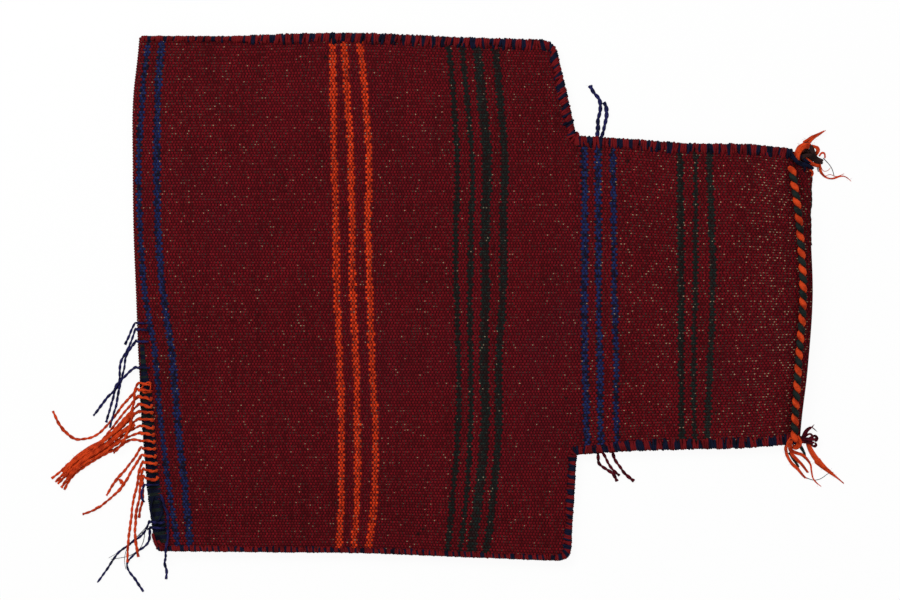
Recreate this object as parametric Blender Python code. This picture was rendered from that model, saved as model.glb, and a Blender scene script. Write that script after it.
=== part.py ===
"""A flat-woven wool bag of the salt-bag form: a wide body under a narrow neck, lying flat on its back.

One striped cloth is folded at the base, and its two side edges are overcast with red and navy yarn.
A twisted cord runs along the front lip, and loose yarn ends are left at the base fold and the corners.
+X runs from the base fold to the mouth, +Y to the bag's left, +Z out of its front. The origin is on
the underside, under the middle of the body. Units are metres.
"""

import math

import bmesh
import bpy
from mathutils import Vector

LEFT = 1
RIGHT = -1

# The cloth's outline
BODY_LENGTH = 0.352
BODY_WIDTH = 0.4128
NECK_LENGTH = 0.183
NECK_ROOT_WIDTH = 0.252
NECK_MOUTH_WIDTH = 0.2328
NECK_OFFSET = -0.0012
BACK_LIP_REACH = 0.0078
LEFT_SHOULDER_SLANT = 0.0176
RIGHT_SHOULDER_SLANT = 0.005
CORNER_RADIUS = 0.008

# How far each hand-woven edge strays from its straight line, at even steps along it
FOLD_WANDER = (0.0168, 0.0104, 0.0060, 0.0024, 0.0004, -0.0016, -0.0022, -0.0020, 0.0032)
LEFT_SIDE_WANDER = (-0.0008, -0.0010, 0.0008, -0.0024, -0.0048)
RIGHT_SIDE_WANDER = (-0.0016, -0.0008, 0.0, 0.0032, 0.0060)
NECK_LEFT_WANDER = (0.0, -0.0004, -0.0014, 0.0012, 0.0)
NECK_RIGHT_WANDER = (0.0, -0.0012, 0.0, 0.0012, 0.0)
FRONT_LIP_WANDER = (-0.0064, -0.0040, 0.0, -0.0032, -0.0096)
BACK_LIP_WANDER = (-0.0104, -0.0040, 0.0, -0.0016, 0.0)

# The cloth's thickness and how it lies
WALL = 0.0026
PUFF = 0.008
MOUTH_GAP = 0.0084
SEAM_GAP = 0.0004
RISE = 0.06
SLACK = 0.0007
SLACK_LENGTH = 0.21
RIB_PITCH = 0.007
RIB_HEIGHT = 0.0006

# Woven stripes: place, spacing and widths
BLUE_FROM_FOLD = 0.0076
BLUE_SPACING = 0.0148
BLUE_WIDTHS = (0.0042, 0.0056)
BLUE_WANDER = (0.0112, 0.0080, 0.0, -0.0022, 0.0004)
ORANGE_OFF_MIDDLE = -0.0016
ORANGE_SPACING = 0.0130
ORANGE_WIDTH = 0.0052
ORANGE_WANDER = (0.0, 0.0040, 0.0, -0.0016, -0.0064)
CHARCOAL_FROM_ROOT = 0.0782
CHARCOAL_PLACES = (-0.0162, -0.0058, 0.0058, 0.0194)
CHARCOAL_WIDTHS = (0.0046, 0.0042, 0.0072, 0.0058)
CHARCOAL_WANDER = (-0.0102, 0.0006, 0.0, 0.0024, -0.0066)
NECK_BLUE_FROM_ROOT = 0.0080
NECK_BLUE_SPACING = 0.0124
NECK_STRIPE_WIDTH = 0.0044
NECK_CHARCOAL_FROM_LIP = 0.0970
NECK_CHARCOAL_SPACING = 0.0116

# Yarn and stitching
CLEAR = 0.0003
EDGE_CLEAR = 0.0006
FLOOR_CLEAR = 0.0003
SEAM_YARN = 0.0011
SEAM_THIN = 0.55
SEAM_REACH = 0.0062
SEAM_SHORT_REACH = 0.0044
SEAM_STITCH = 0.012
SEAM_SLANT = 0.0014
SEAM_END_GAP = 0.003
LIFT_RUN = 0.02
CORD_PLY = 0.0027
CORD_LEAD = 0.013
CORD_STEPS = 6
CORD_SETBACK = 0.0015
CORD_LEFT_END = 0.0175
CORD_RIGHT_END = 0.006
BINDING_YARN = 0.0009
BINDING_REACH = 0.0085
BINDING_STEP = 0.009
BINDING_FROM_SIDE = 0.0058
BINDING_LENGTH = 0.158
FRINGE_YARN = 0.0018
FRINGE_ROOT = 0.0075
NAVY_YARN = 0.0016
NAVY_TAIL_YARN = 0.0028
MADDER_TAIL_YARN = 0.0019
LIP_THREAD_YARN = 0.0012

# Yarn ends. A place is read on the photograph as (across, down), and a level is the height above the
# ground, counted in strands. A root is counted along the base fold in steps of the fringe's spacing.
PHOTO_STEP = 0.0008
FRINGE_FROM_SIDE = 0.1336
FRINGE_SPACING = 0.00578
BUNCH_FIRST = 2
BUNCH_COUNT = 7
BUNCH_SHORT = (1, 4)
BUNCH_START = (137.3, 419.6)
BUNCH_LINE = (
    (126, 428, 24),
    (112, 441, 17),
    (97, 452, 12),
    (82, 461, 11),
    (68, 472, 12),
    (56, 485, 16),
)
FRINGE_ROUTES = {
    1: (0, (138.0, 383), (
        (135.4, 392, 2.7), (134, 403, 2.7), (132.6, 414, 2.7), (130, 426, 2.7),
        (126, 437, 2.8), (120, 446, 2.3), (113, 453.5, 0.0),
    ), False),
    2: (1, (137.0, 390), (
        (124, 405, 0), (111, 421, 0), (101, 431, 0), (92, 438, 0),
        (80, 440, 0), (68, 435, 0), (59, 424, 0), (53, 411, 0),
    ), True),
    10: (9, (139.0, 448), (
        (133, 457, 0), (126, 468, 0), (114.5, 480.6, 0), (107.8, 490, 0), (104, 496, 0),
    ), True),
    11: (10, (139.4, 455), (
        (135, 461, 0), (129, 473, 0), (122, 484, 0), (113, 494, 0),
        (104, 502, 0), (96, 508, 0), (88, 510, 0), (80, 514, 0),
    ), True),
    12: (11, (140.4, 463), (
        (137, 475, 0), (134, 490, 0), (131, 505, 0), (129, 520, 0.6), (127, 540, 1.3), (125.5, 563, 1.3),
    ), True),
    13: (12, (141.0, 470), (
        (139, 480, 0), (138, 492, 0), (136, 505, 0), (133.5, 520, 0.6), (134, 538, 1.3), (137, 557, 1.3),
    ), True),
    14: (13, (142.0, 477), (
        (141, 488, 0), (140.6, 500, 0), (138.5, 511, 0), (137, 519, 0),
    ), True),
}
NAVY_ROUTES = {
    "navy_strand_01": (-7.34, False, (137.0, 330), (
        (136, 337, 0), (131.9, 345, 0), (126, 352, 0), (122, 366, 0),
        (121, 379, 0), (118.5, 388, 0), (110.8, 397, 0), (103, 404, 0), (95.5, 415.7, 0),
    )),
    "navy_strand_02": (-2.08, True, (138.5, 368), (
        (133, 373, 0.8), (127, 378, 1.3), (119, 387, 1.3), (116.5, 400, 1.4), (109, 423, 1.4),
    )),
    "navy_strand_03": (-5.74, False, (137.5, 345), (
        (133.8, 351, 0), (127.5, 361, 0), (125, 372, 0), (123.8, 383, 0),
        (121.5, 392, 0.6), (119, 406, 1.4), (115.6, 420, 2.0), (112, 431.5, 2.4),
    )),
    "navy_strand_04": (-8.24, False, (136.5, 324), ((133, 330, 0), (130, 337, 0), (127, 345, 0))),
    "navy_curl": (14.15, True, (143.5, 485), ((141.3, 492, 1.6), (141, 498, 1.6), (143.3, 502.6, 1.2))),
    "corner_web_strand_01": (19.31, True, (145.0, 522), (
        (142.3, 531, 0), (126, 543, 0), (117.4, 550.5, 0), (108.8, 559, 0), (101, 570.6, 0), (93, 582.5, 0),
    )),
    "corner_web_strand_02": (20.07, True, (146.0, 528), (
        (142, 547, 0), (130.8, 554.3, 0), (123, 560.5, 0), (123.6, 570, 0), (131.8, 581, 0), (139, 592.6, 0),
    )),
}
CORNER_STRAND_COLUMN = 0.0
CORNER_STRAND_START = (160.0, 550.0)
CORNER_STRAND_ON_CLOTH = ((162, 496), (166, 507), (169, 523), (169, 535))
CORNER_STRAND_OVER_SEAM = (
    (168.4, 538.5, 0.0), (166.5, 551.5, 0.0), (166, 556, 0.0024), (165.5, 559, 0.006),
)
CORNER_STRAND_ON_GROUND = ((165, 566), (166, 573), (166.3, 580))
NECK_TAILS = {
    "neck_tail_navy_01": (LEFT, 0.0176, (597, 136), (
        (598, 124), (600, 111), (600, 100), (595, 93), (590, 85),
    ), "navy"),
    "neck_tail_navy_02": (LEFT, 0.0216, (602, 136), (
        (604.5, 126), (607, 117), (607, 106), (604.6, 101),
    ), "navy"),
    "neck_tail_madder_01": (RIGHT, 0.0184, (598, 453), (
        (599, 462), (605, 468), (612, 472), (618, 481),
    ), "madder"),
    "neck_tail_madder_02": (RIGHT, 0.0224, (603, 453), (
        (607, 461), (611, 467), (620, 476),
    ), "madder"),
    "neck_tail_madder_03": (RIGHT, 0.0304, (613, 453), (
        (615, 460), (621, 469), (628, 477), (634, 482),
    ), "madder"),
}
LIP_THREAD_FROM = 0.1020
LIP_THREAD_TO = 0.0390
LIP_THREAD_POINTS = 8
LIP_THREAD_WAVER = 0.0005

# The knots: colour, diameter, share left of it at the far end, points, and (across, down, height)
LEFT_KNOT_START = (791.75, 150.0)
RIGHT_KNOT_START = (795.75, 441.0)
LEFT_KNOT = {
    "left_knot_orange_wrap": ("orange", 0.0044, 1.0, 6, (
        (796.5, 160, 0.0065), (799, 152.5, 0.0066), (804, 147.6, 0.0066), (808, 146.4, 0.0066),
    )),
    "left_knot_charcoal_loop": ("charcoal", 0.0032, 1.0, 9, (
        (806, 142.4, 0.0102), (811, 147, 0.0100), (814.5, 153, 0.0074),
        (817.5, 157, 0.0045), (821, 159, 0.0026), (825, 161.5, 0.0022),
    )),
    "left_knot_orange_tuft": ("orange", 0.0042, 0.12, 6, (
        (803.5, 142.9, 0.0050), (812, 138, 0.0032), (820, 133.5, 0.0026), (826.5, 129.8, 0.0024),
    )),
    "left_knot_orange_tail": ("orange", 0.0018, 0.4, 10, (
        (808, 158, 0.0052), (812, 162, 0.0052), (817.5, 165.5, 0.0044), (820.5, 169, 0.002),
        (824, 175, 0.0013), (830, 178.5, 0.0013), (838, 177, 0.0013), (845, 176, 0.0013), (852, 181, 0.0013),
    )),
    "left_knot_charcoal_tail": ("charcoal", 0.0012, 1.0, 5, (
        (825.6, 162.2, 0.002), (829.5, 165, 0.0012), (833, 169, 0.001), (835, 175.5, 0.001),
    )),
}
RIGHT_KNOT = {
    "right_knot_orange_wrap": ("orange", 0.0042, 1.0, 7, (
        (791, 435, 0.0112), (790, 440, 0.0114), (791.5, 444.5, 0.0112), (794, 450, 0.0064),
        (797, 452.4, 0.0034),
    )),
    "right_knot_strand_01": ("orange", 0.0018, 0.6, 8, (
        (786, 444.5, 0.003), (784.5, 450, 0.0014), (787, 459, 0.0013),
        (793, 467, 0.0013), (799, 472.5, 0.0013), (808, 481, 0.0013),
    )),
    "right_knot_strand_02": ("orange", 0.0018, 0.6, 7, (
        (790.2, 444.0, 0.0024), (790.6, 452, 0.0014), (796, 460, 0.0013),
        (802, 466, 0.0013), (810, 474, 0.0013),
    )),
    "right_knot_strand_03": ("orange", 0.0018, 0.3, 8, (
        (797.4, 452.9, 0.0030), (804, 456.6, 0.0014), (809, 461, 0.0013),
        (811.5, 468, 0.0013), (814, 476, 0.0013), (822, 487, 0.0013),
    )),
    "right_knot_charcoal_end": ("charcoal", 0.0016, 1.0, 5, (
        (803.5, 443.6, 0.0018), (806, 448.6, 0.0012), (806.6, 453, 0.0012),
    )),
    "right_knot_madder_tuft": ("madder", 0.0042, 0.8, 5, (
        (801.6, 439.6, 0.003), (807, 440.2, 0.0026), (816, 439, 0.0024),
    )),
    "right_knot_orange_tail": ("orange", 0.0038, 0.15, 8, (
        (809.6, 443.4, 0.0024), (812.4, 451, 0.0022), (816.4, 459, 0.0022),
        (821, 465, 0.0022), (830, 472, 0.0022), (844, 483.5, 0.0022),
    )),
}

# Colours of the wool
MADDER = (0.105, 0.008, 0.014)
NAVY = (0.012, 0.018, 0.075)
ORANGE = (0.62, 0.075, 0.012)
CHARCOAL = (0.017, 0.024, 0.021)
STRAY_RANGE = 0.04

# Mesh stations: shares of the body's and the neck's length, and of the flank's and the neck's width
BODY_COLUMNS = (0.0, 0.05, 0.12, 0.2, 0.5, 0.8, 0.9, 0.96, 1.0)
NECK_COLUMNS = (0.0, 0.15, 0.5, 0.85, 1.0)
FLANK_ROWS = (0.0, 0.1, 0.28, 0.6, 1.0)
NECK_ROWS = (0.0, 0.07, 0.16, 0.28, 0.5, 0.72, 0.84, 0.93, 1.0)

ROOT_X = BODY_LENGTH / 2
FOLD_RADIUS = WALL + SEAM_GAP / 2
KNUCKLE = math.sqrt(0.5)


def lerp(a, b, share):
    return a + (b - a) * share


def clamp(value, low=0.0, high=1.0):
    return min(max(value, low), high)


def smooth(share):
    share = clamp(share)
    return share * share * (3 - 2 * share)


def wander(values, share):
    """A smooth curve through evenly spaced values, read at a share from 0 to 1."""
    place = clamp(share) * (len(values) - 1)
    i = min(int(place), len(values) - 2)
    t = place - i
    before = values[max(i - 1, 0)]
    a = values[i]
    b = values[i + 1]
    after = values[min(i + 2, len(values) - 1)]
    start = (b - before) / 2
    end = (after - a) / 2
    return a + t * (start + t * (3 * (b - a) - 2 * start - end + t * (2 * (a - b) + start + end)))


def fold_x(y):
    return -BODY_LENGTH / 2 + wander(FOLD_WANDER, y / BODY_WIDTH + 0.5)


def side_y(side, along):
    strays = LEFT_SIDE_WANDER if side == LEFT else RIGHT_SIDE_WANDER
    return side * (BODY_WIDTH / 2 + wander(strays, along))


def neck_y(side, along):
    strays = NECK_LEFT_WANDER if side == LEFT else NECK_RIGHT_WANDER
    half = lerp(NECK_ROOT_WIDTH, NECK_MOUTH_WIDTH, along) / 2
    return NECK_OFFSET + side * (half + wander(strays, along))


def shoulder_x(y):
    """The shoulder edge on the flanks, with its rounded outer corner, and the neck's root between them."""
    side = LEFT if y > NECK_OFFSET else RIGHT
    slant = LEFT_SHOULDER_SLANT if side == LEFT else RIGHT_SHOULDER_SLANT
    inner = neck_y(side, 0.0)
    outer = side_y(side, 1.0)
    x = ROOT_X - slant * clamp((y - inner) / (outer - inner))
    inset = CORNER_RADIUS - abs(outer - y)
    if inset > 0:
        x -= CORNER_RADIUS - math.sqrt(max(CORNER_RADIUS**2 - inset**2, 0.0))
    return x


def lip_x(across, back):
    straight = ROOT_X + NECK_LENGTH
    if back:
        return straight + BACK_LIP_REACH + wander(BACK_LIP_WANDER, across)
    return straight + wander(FRONT_LIP_WANDER, across)


def plan(row, column, back=False):
    """(x, y) of a grid place. Rows 0 to 1 are the right flank, 1 to 2 the neck's width and 2 to 3 the
    left flank. Columns 0 to 1 are the body and 1 to 2 the neck."""
    if column > 1:
        across = row - 1
        x = lerp(ROOT_X, lip_x(across, back), column - 1)
        along = (x - ROOT_X) / NECK_LENGTH
        return x, lerp(neck_y(RIGHT, along), neck_y(LEFT, along), across)
    if row < 1:
        y = lerp(side_y(RIGHT, column), neck_y(RIGHT, 0.0), row)
    elif row <= 2:
        y = lerp(neck_y(RIGHT, 0.0), neck_y(LEFT, 0.0), row - 1)
    else:
        y = lerp(neck_y(LEFT, 0.0), side_y(LEFT, column), row - 2)
    return lerp(fold_x(y) + FOLD_RADIUS, shoulder_x(y), column), y


def from_seam(x, y):
    """Distance from the nearest stitched edge."""
    if x >= ROOT_X:
        along = (x - ROOT_X) / NECK_LENGTH
        return min(neck_y(LEFT, along) - y, y - neck_y(RIGHT, along))
    start = fold_x(y)
    end = shoulder_x(y)
    along = clamp((x - start) / (end - start))
    gaps = [side_y(LEFT, along) - y, y - side_y(RIGHT, along)]
    if neck_y(RIGHT, 0.0) <= y <= neck_y(LEFT, 0.0):
        gaps.append(math.hypot(ROOT_X - x, neck_y(LEFT, 0.0) - y))
        gaps.append(math.hypot(ROOT_X - x, y - neck_y(RIGHT, 0.0)))
    else:
        gaps.append(end - x)
    return min(gaps)


def lift(x, y):
    """How far the seam's yarn underneath keeps the cloth off the ground."""
    beyond = from_seam(x, y) - SEAM_REACH
    return (SEAM_YARN + CLEAR) * (1 - smooth(beyond / LIFT_RUN))


def gap(x, y):
    """The room between the two panels: nearly none at the seams and the fold, open in the middle."""
    rise = smooth(min(from_seam(x, y), x - fold_x(y)) / RISE)
    mouth = smooth((x - (ROOT_X + NECK_LENGTH - RISE)) / RISE)
    slack = SLACK * math.sin(math.tau * (x + 0.4 * y) / SLACK_LENGTH) * math.cos(math.tau * y / SLACK_LENGTH)
    return SEAM_GAP + (lerp(PUFF, MOUTH_GAP, mouth) - SEAM_GAP + slack) * rise


def front_z(x, y):
    return lift(x, y) + 2 * WALL + gap(x, y)


def even_count(length, step):
    return max(2, 2 * round(length / step / 2))


def rib_rows():
    """Rows of the ribbed front: valleys at the even places and crests at the odd ones."""
    flank = even_count((BODY_WIDTH - NECK_ROOT_WIDTH) / 2, RIB_PITCH / 2)
    neck = even_count(NECK_ROOT_WIDTH, RIB_PITCH / 2)
    right = [i / flank for i in range(flank)]
    middle = [1 + i / neck for i in range(neck)]
    left = [2 + i / flank for i in range(flank + 1)]
    return right + middle + left


def plain_rows():
    right = [share for share in FLANK_ROWS[:-1]]
    middle = [1 + share for share in NECK_ROWS[:-1]]
    left = [3 - share for share in reversed(FLANK_ROWS)]
    return right + middle + left


class Panel:
    """One surface of a bag panel, and its vertices along each edge."""

    def __init__(self, bm, rows, height, back=False, rib=0.0):
        columns = list(BODY_COLUMNS)
        mouthward = [1 + share for share in NECK_COLUMNS[1:]]
        self.body = []
        self.neck = []
        for i, row in enumerate(rows):
            raised = rib if i % 2 else 0.0
            self.body.append([self.vertex(bm, row, c, height, back, raised) for c in columns])
            if 1 <= row <= 2:
                further = [self.vertex(bm, row, c, height, back, raised) for c in mouthward]
                self.neck.append([self.body[-1][-1]] + further)
        for grid in (self.body, self.neck):
            for near, far in zip(grid, grid[1:]):
                for j in range(len(near) - 1):
                    bm.faces.new((near[j], near[j + 1], far[j + 1], far[j]))
        first = next(i for i, row in enumerate(rows) if row >= 1)
        last = first + len(self.neck) - 1
        self.fold = [row[0] for row in self.body]
        self.edges = [
            self.body[0],
            self.body[-1],
            [row[-1] for row in self.body[: first + 1]],
            [row[-1] for row in self.body[last:]],
            self.neck[0],
            self.neck[-1],
            [row[-1] for row in self.neck],
        ]

    @staticmethod
    def vertex(bm, row, column, height, back, raised):
        x, y = plan(row, column, back)
        return bm.verts.new((x, y, height(x, y) + raised))


def shares_along(verts):
    lengths = [0.0]
    for a, b in zip(verts, verts[1:]):
        lengths.append(lengths[-1] + (b.co - a.co).length)
    return [length / lengths[-1] for length in lengths]


def join_edges(bm, a, b):
    """A strip of triangles between two rows of vertices that run side by side, of any counts."""
    along_a = shares_along(a)
    along_b = shares_along(b)
    i = 0
    j = 0
    while i < len(a) - 1 or j < len(b) - 1:
        if j == len(b) - 1 or (i < len(a) - 1 and along_a[i + 1] <= along_b[j + 1]):
            bm.faces.new((a[i], a[i + 1], b[j]))
            i += 1
        else:
            bm.faces.new((a[i], b[j + 1], b[j]))
            j += 1


def fold_line(bm, rows, out, up, rib=0.0):
    """Vertices along the base fold, out from the panels' ends and up from the fold's middle."""
    verts = []
    for i, row in enumerate(rows):
        x, y = plan(row, 0.0)
        bulge = rib if i % 2 else 0.0
        middle = lift(x, y) + WALL + gap(x, y) / 2
        verts.append(bm.verts.new((x - out - bulge, y, middle + up)))
    return verts


def woven_cloth(material):
    """Front panel, base fold and back panel in one piece, open at the mouth and along both sides."""
    bm = bmesh.new()
    fine = rib_rows()
    plain = plain_rows()
    front = Panel(bm, fine, front_z, rib=RIB_HEIGHT)
    front_lining = Panel(bm, plain, lambda x, y: front_z(x, y) - WALL)
    back_lining = Panel(bm, plain, lambda x, y: lift(x, y) + WALL, back=True)
    back = Panel(bm, plain, lift, back=True)

    knuckle = fold_line(bm, fine, KNUCKLE * FOLD_RADIUS, KNUCKLE * FOLD_RADIUS, RIB_HEIGHT / 2)
    nose = fold_line(bm, fine, FOLD_RADIUS, 0.0, RIB_HEIGHT)
    inner_nose = fold_line(bm, plain, FOLD_RADIUS - WALL, 0.0)
    for outer, inner in ((front.fold, knuckle), (knuckle, nose)):
        for i in range(len(outer) - 1):
            bm.faces.new((outer[i], outer[i + 1], inner[i + 1], inner[i]))
    join_edges(bm, nose, back.fold)
    join_edges(bm, front_lining.fold, inner_nose)
    join_edges(bm, inner_nose, back_lining.fold)
    for end in (0, -1):
        outside = [front.fold[end], knuckle[end], nose[end], back.fold[end]]
        inside = [front_lining.fold[end], inner_nose[end], back_lining.fold[end]]
        join_edges(bm, outside, inside)
    for outer, lining in ((front, front_lining), (back, back_lining)):
        for a, b in zip(outer.edges, lining.edges):
            join_edges(bm, a, b)
    return mesh_object("woven_cloth", bm, [material])


def mesh_object(name, bm, materials):
    bmesh.ops.recalc_face_normals(bm, faces=bm.faces)
    mesh = bpy.data.meshes.new(name)
    bm.to_mesh(mesh)
    bm.free()
    for material in materials:
        mesh.materials.append(material)
    obj = bpy.data.objects.new(name, mesh)
    bpy.context.collection.objects.link(obj)
    return obj


def side_line(side):
    """Plan points of one stitched edge, from the base fold round the shoulder to the mouth."""
    outer_row = 3.0 if side == LEFT else 0.0
    inner_row = 2.0 if side == LEFT else 1.0
    steps = even_count((BODY_WIDTH - NECK_ROOT_WIDTH) / 2, RIB_PITCH / 2)
    line = [plan(outer_row, column) for column in BODY_COLUMNS]
    line += [plan(lerp(outer_row, inner_row, i / steps), 1.0) for i in range(1, steps + 1)]
    line += [plan(inner_row, 1 + share) for share in NECK_COLUMNS[1:]]
    return [Vector(point) for point in line]


class Line:
    """A polyline that is read by the distance along it."""

    def __init__(self, points):
        self.points = points
        self.reached = [0.0]
        for a, b in zip(points, points[1:]):
            self.reached.append(self.reached[-1] + (b - a).length)
        self.length = self.reached[-1]

    def at(self, distance):
        distance = clamp(distance, 0.0, self.length)
        i = 0
        while i < len(self.points) - 2 and self.reached[i + 1] < distance:
            i += 1
        span = self.reached[i + 1] - self.reached[i]
        return self.points[i].lerp(self.points[i + 1], (distance - self.reached[i]) / span)

    def tangent(self, distance, reach):
        return (self.at(distance + reach) - self.at(distance - reach)).normalized()


def seam_section(line, side, distance, crest):
    """The overcast yarn cut across the seam: over the front, round the edge and under the back."""
    edge = line.at(distance)
    along = line.tangent(distance, SEAM_STITCH / 4)
    out = Vector((-along.y, along.x)) * side
    yarn = SEAM_YARN if crest else SEAM_YARN * SEAM_THIN
    reach = SEAM_REACH if crest else SEAM_SHORT_REACH
    tip = edge - out * reach + along * SEAM_SLANT
    step = SEAM_STITCH / 2
    bend = (edge - (line.at(distance - step) + line.at(distance + step)) / 2).dot(out)
    clear = EDGE_CLEAR + max(bend, 0.0) / 4
    near = edge + out * clear
    far = edge + out * (clear + yarn)
    under_tip = edge - out * reach
    rest = RIB_HEIGHT + CLEAR
    tip_z = max(front_z(*tip), front_z(*(edge - out * SEAM_SHORT_REACH))) + rest
    edge_z = front_z(*edge) + rest
    return [
        (*tip, tip_z),
        (*far, edge_z + yarn),
        (*far, SEAM_YARN - yarn),
        (*under_tip, SEAM_YARN - yarn),
        (*near, SEAM_YARN),
        (*near, edge_z),
    ]


def loft(bm, sections, indices):
    """Closed sections joined in turn and capped, each span with a material index."""
    rings = [[bm.verts.new(point) for point in section] for section in sections]
    for near, far, index in zip(rings, rings[1:], indices):
        for i in range(len(near)):
            k = (i + 1) % len(near)
            face = bm.faces.new((near[i], near[k], far[k], far[i]))
            face.material_index = index
    bm.faces.new(rings[0])
    bm.faces.new(rings[-1])


def side_seam(name, side, red, navy):
    line = Line(side_line(side))
    room = line.length - 2 * SEAM_END_GAP
    spans = even_count(room, SEAM_STITCH / 2)
    sections = []
    for k in range(spans + 1):
        distance = SEAM_END_GAP + room * k / spans
        sections.append(seam_section(line, side, distance, k % 2 == 1))
    bm = bmesh.new()
    loft(bm, sections, [(k // 2) % 2 for k in range(spans)])
    return mesh_object(name, bm, [red, navy])


def smooth_path(points, count):
    """Points evenly placed along a smooth curve through the given ones."""
    dense = []
    for axis in range(3):
        values = [point[axis] for point in points]
        steps = 12 * (len(points) - 1)
        dense.append([wander(values, i / steps) for i in range(steps + 1)])
    line = Line([Vector(point) for point in zip(*dense)])
    return [line.at(line.length * i / (count - 1)) for i in range(count)]


def yarn(name, points, diameter, material, count=9, end_share=1.0, kept=0):
    """A length of yarn as a curve with a round section, which may thin towards its end. The first
    points are kept as they are, and the others are smoothed."""
    curve = bpy.data.curves.new(name, "CURVE")
    curve.dimensions = "3D"
    curve.bevel_depth = diameter / 2
    curve.bevel_resolution = 0
    curve.use_fill_caps = True
    curve.materials.append(material)
    path = points
    if count:
        path = points[:kept] + smooth_path(points[kept:], count - kept)
    spline = curve.splines.new("POLY")
    spline.points.add(len(path) - 1)
    for i, point in enumerate(path):
        spline.points[i].co = (*point, 1.0)
        spline.points[i].radius = lerp(1.0, end_share, i / (len(path) - 1))
    obj = bpy.data.objects.new(name, curve)
    bpy.context.collection.objects.link(obj)
    return obj


def on_front(x, y, above):
    """A point over the front panel, clear of its ribs."""
    return Vector((x, y, front_z(x, y) + RIB_HEIGHT + above))


def mouth_cord_ply(name, phase, material):
    """One of the two plies twisted together along the front lip."""
    orbit = (CORD_PLY / 2 + CLEAR / 2) / math.cos(math.pi / CORD_STEPS)
    right = neck_y(RIGHT, 1.0) + CORD_RIGHT_END
    left = neck_y(LEFT, 1.0) - CORD_LEFT_END
    turns = (left - right) / CORD_LEAD
    steps = round(turns * CORD_STEPS)
    width = neck_y(LEFT, 1.0) - neck_y(RIGHT, 1.0)
    points = []
    for i in range(steps + 1):
        y = lerp(right, left, i / steps)
        x = lip_x((y - neck_y(RIGHT, 1.0)) / width, False) - CORD_SETBACK
        axis = on_front(x, y, CLEAR + CORD_PLY / 2 + orbit)
        turn = math.tau * i / CORD_STEPS + phase
        points.append(axis + Vector((orbit * math.cos(turn), 0.0, orbit * math.sin(turn))))
    return yarn(name, points, CORD_PLY, material, count=0)


def binding_section(y, yarn_size):
    """The dark yarn left along the base fold, from the front round to the fold's nose."""
    x = fold_x(y) + FOLD_RADIUS
    middle = lift(x, y) + WALL + gap(x, y) / 2
    tip = fold_x(y) + BINDING_REACH
    inside = RIB_HEIGHT + EDGE_CLEAR
    outside = inside + yarn_size
    diagonal = KNUCKLE * (FOLD_RADIUS + inside)
    diagonal_out = KNUCKLE * (FOLD_RADIUS + outside)
    return [
        (tip, y, front_z(tip, y) + inside),
        (x, y, front_z(x, y) + outside),
        (x - diagonal_out, y, middle + diagonal_out),
        (x - FOLD_RADIUS - outside, y, middle),
        (x - FOLD_RADIUS - inside, y, middle),
        (x - diagonal, y, middle + diagonal),
        (x, y, front_z(x, y) + inside),
    ]


def base_edge_binding(material):
    start = side_y(RIGHT, 0.0) + BINDING_FROM_SIDE
    spans = even_count(BINDING_LENGTH, BINDING_STEP / 2)
    sections = []
    for k in range(spans + 1):
        y = start + BINDING_LENGTH * k / spans
        sections.append(binding_section(y, BINDING_YARN if k % 2 else BINDING_YARN * SEAM_THIN))
    bm = bmesh.new()
    loft(bm, sections, [0] * spans)
    return mesh_object("base_edge_binding", bm, [material])


def over_fold(y, diameter, bound):
    """Points of a strand from its root in the front panel, over the fold and, if it is bound, its binding."""
    x = fold_x(y) + FOLD_RADIUS
    middle = lift(x, y) + WALL + gap(x, y) / 2
    above = CLEAR + diameter / 2 + (BINDING_YARN + EDGE_CLEAR if bound else 0.0)
    out = FOLD_RADIUS + RIB_HEIGHT + above
    root = fold_x(y) + FRINGE_ROOT
    return [
        on_front(root, y, above),
        on_front(x, y, above),
        Vector((x - KNUCKLE * out, y, middle + KNUCKLE * out)),
        Vector((x - out, y, middle)),
    ]


def layer(level, diameter):
    """Height of a strand's middle when it lies on the ground or on others."""
    return FLOOR_CLEAR + diameter / 2 + level * (diameter + CLEAR)


def photo_shift(anchor, start, place, z):
    """A route's place, read on the photograph, carried over to where the route starts on the bag."""
    right = (place[0] - start[0]) * PHOTO_STEP
    down = (place[1] - start[1]) * PHOTO_STEP
    return Vector((anchor[0] + right, anchor[1] - down, z))


def fold_strand(name, y, start, route, diameter, material, bound=True, drops=True, **more):
    """A strand that comes over the base fold and lies along a route of photograph places and levels."""
    points = over_fold(y, diameter, bound)
    if not drops:
        points = points[:-1]
    anchor = points[-1]
    kept = len(points) - 1
    for across, down, level in route:
        points.append(photo_shift(anchor, start, (across, down), layer(level, diameter)))
    return yarn(name, points, diameter, material, kept=kept, **more)


def fringe_root_y(root):
    return side_y(RIGHT, 0.0) + FRINGE_FROM_SIDE - root * FRINGE_SPACING


def fringe_bunch(material):
    """The strands that lie together in one bunch, in two layers, each from its own root in the fold."""
    roots = range(BUNCH_FIRST, BUNCH_FIRST + BUNCH_COUNT)
    middle_root = (roots[0] + roots[-1]) / 2
    middle = over_fold(fringe_root_y(middle_root), FRINGE_YARN, True)[-1]
    for j, root in enumerate(roots):
        share = j / (BUNCH_COUNT - 1) - 0.5
        points = over_fold(fringe_root_y(root), FRINGE_YARN, True)
        kept = len(points) - 1
        z = layer(j % 2, FRINGE_YARN)
        for i, (across, down, width) in enumerate(BUNCH_LINE):
            near = BUNCH_LINE[max(i - 1, 0)]
            far = BUNCH_LINE[min(i + 1, len(BUNCH_LINE) - 1)]
            along = Vector((far[0] - near[0], far[1] - near[1])).normalized()
            aside = width * share
            place = (across + along.y * aside, down - along.x * aside)
            points.append(photo_shift(middle, BUNCH_START, place, z))
        if j in BUNCH_SHORT:
            points.pop()
        yarn(f"fringe_strand_{root + 1:02d}", points, FRINGE_YARN, material, count=10, kept=kept)


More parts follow.
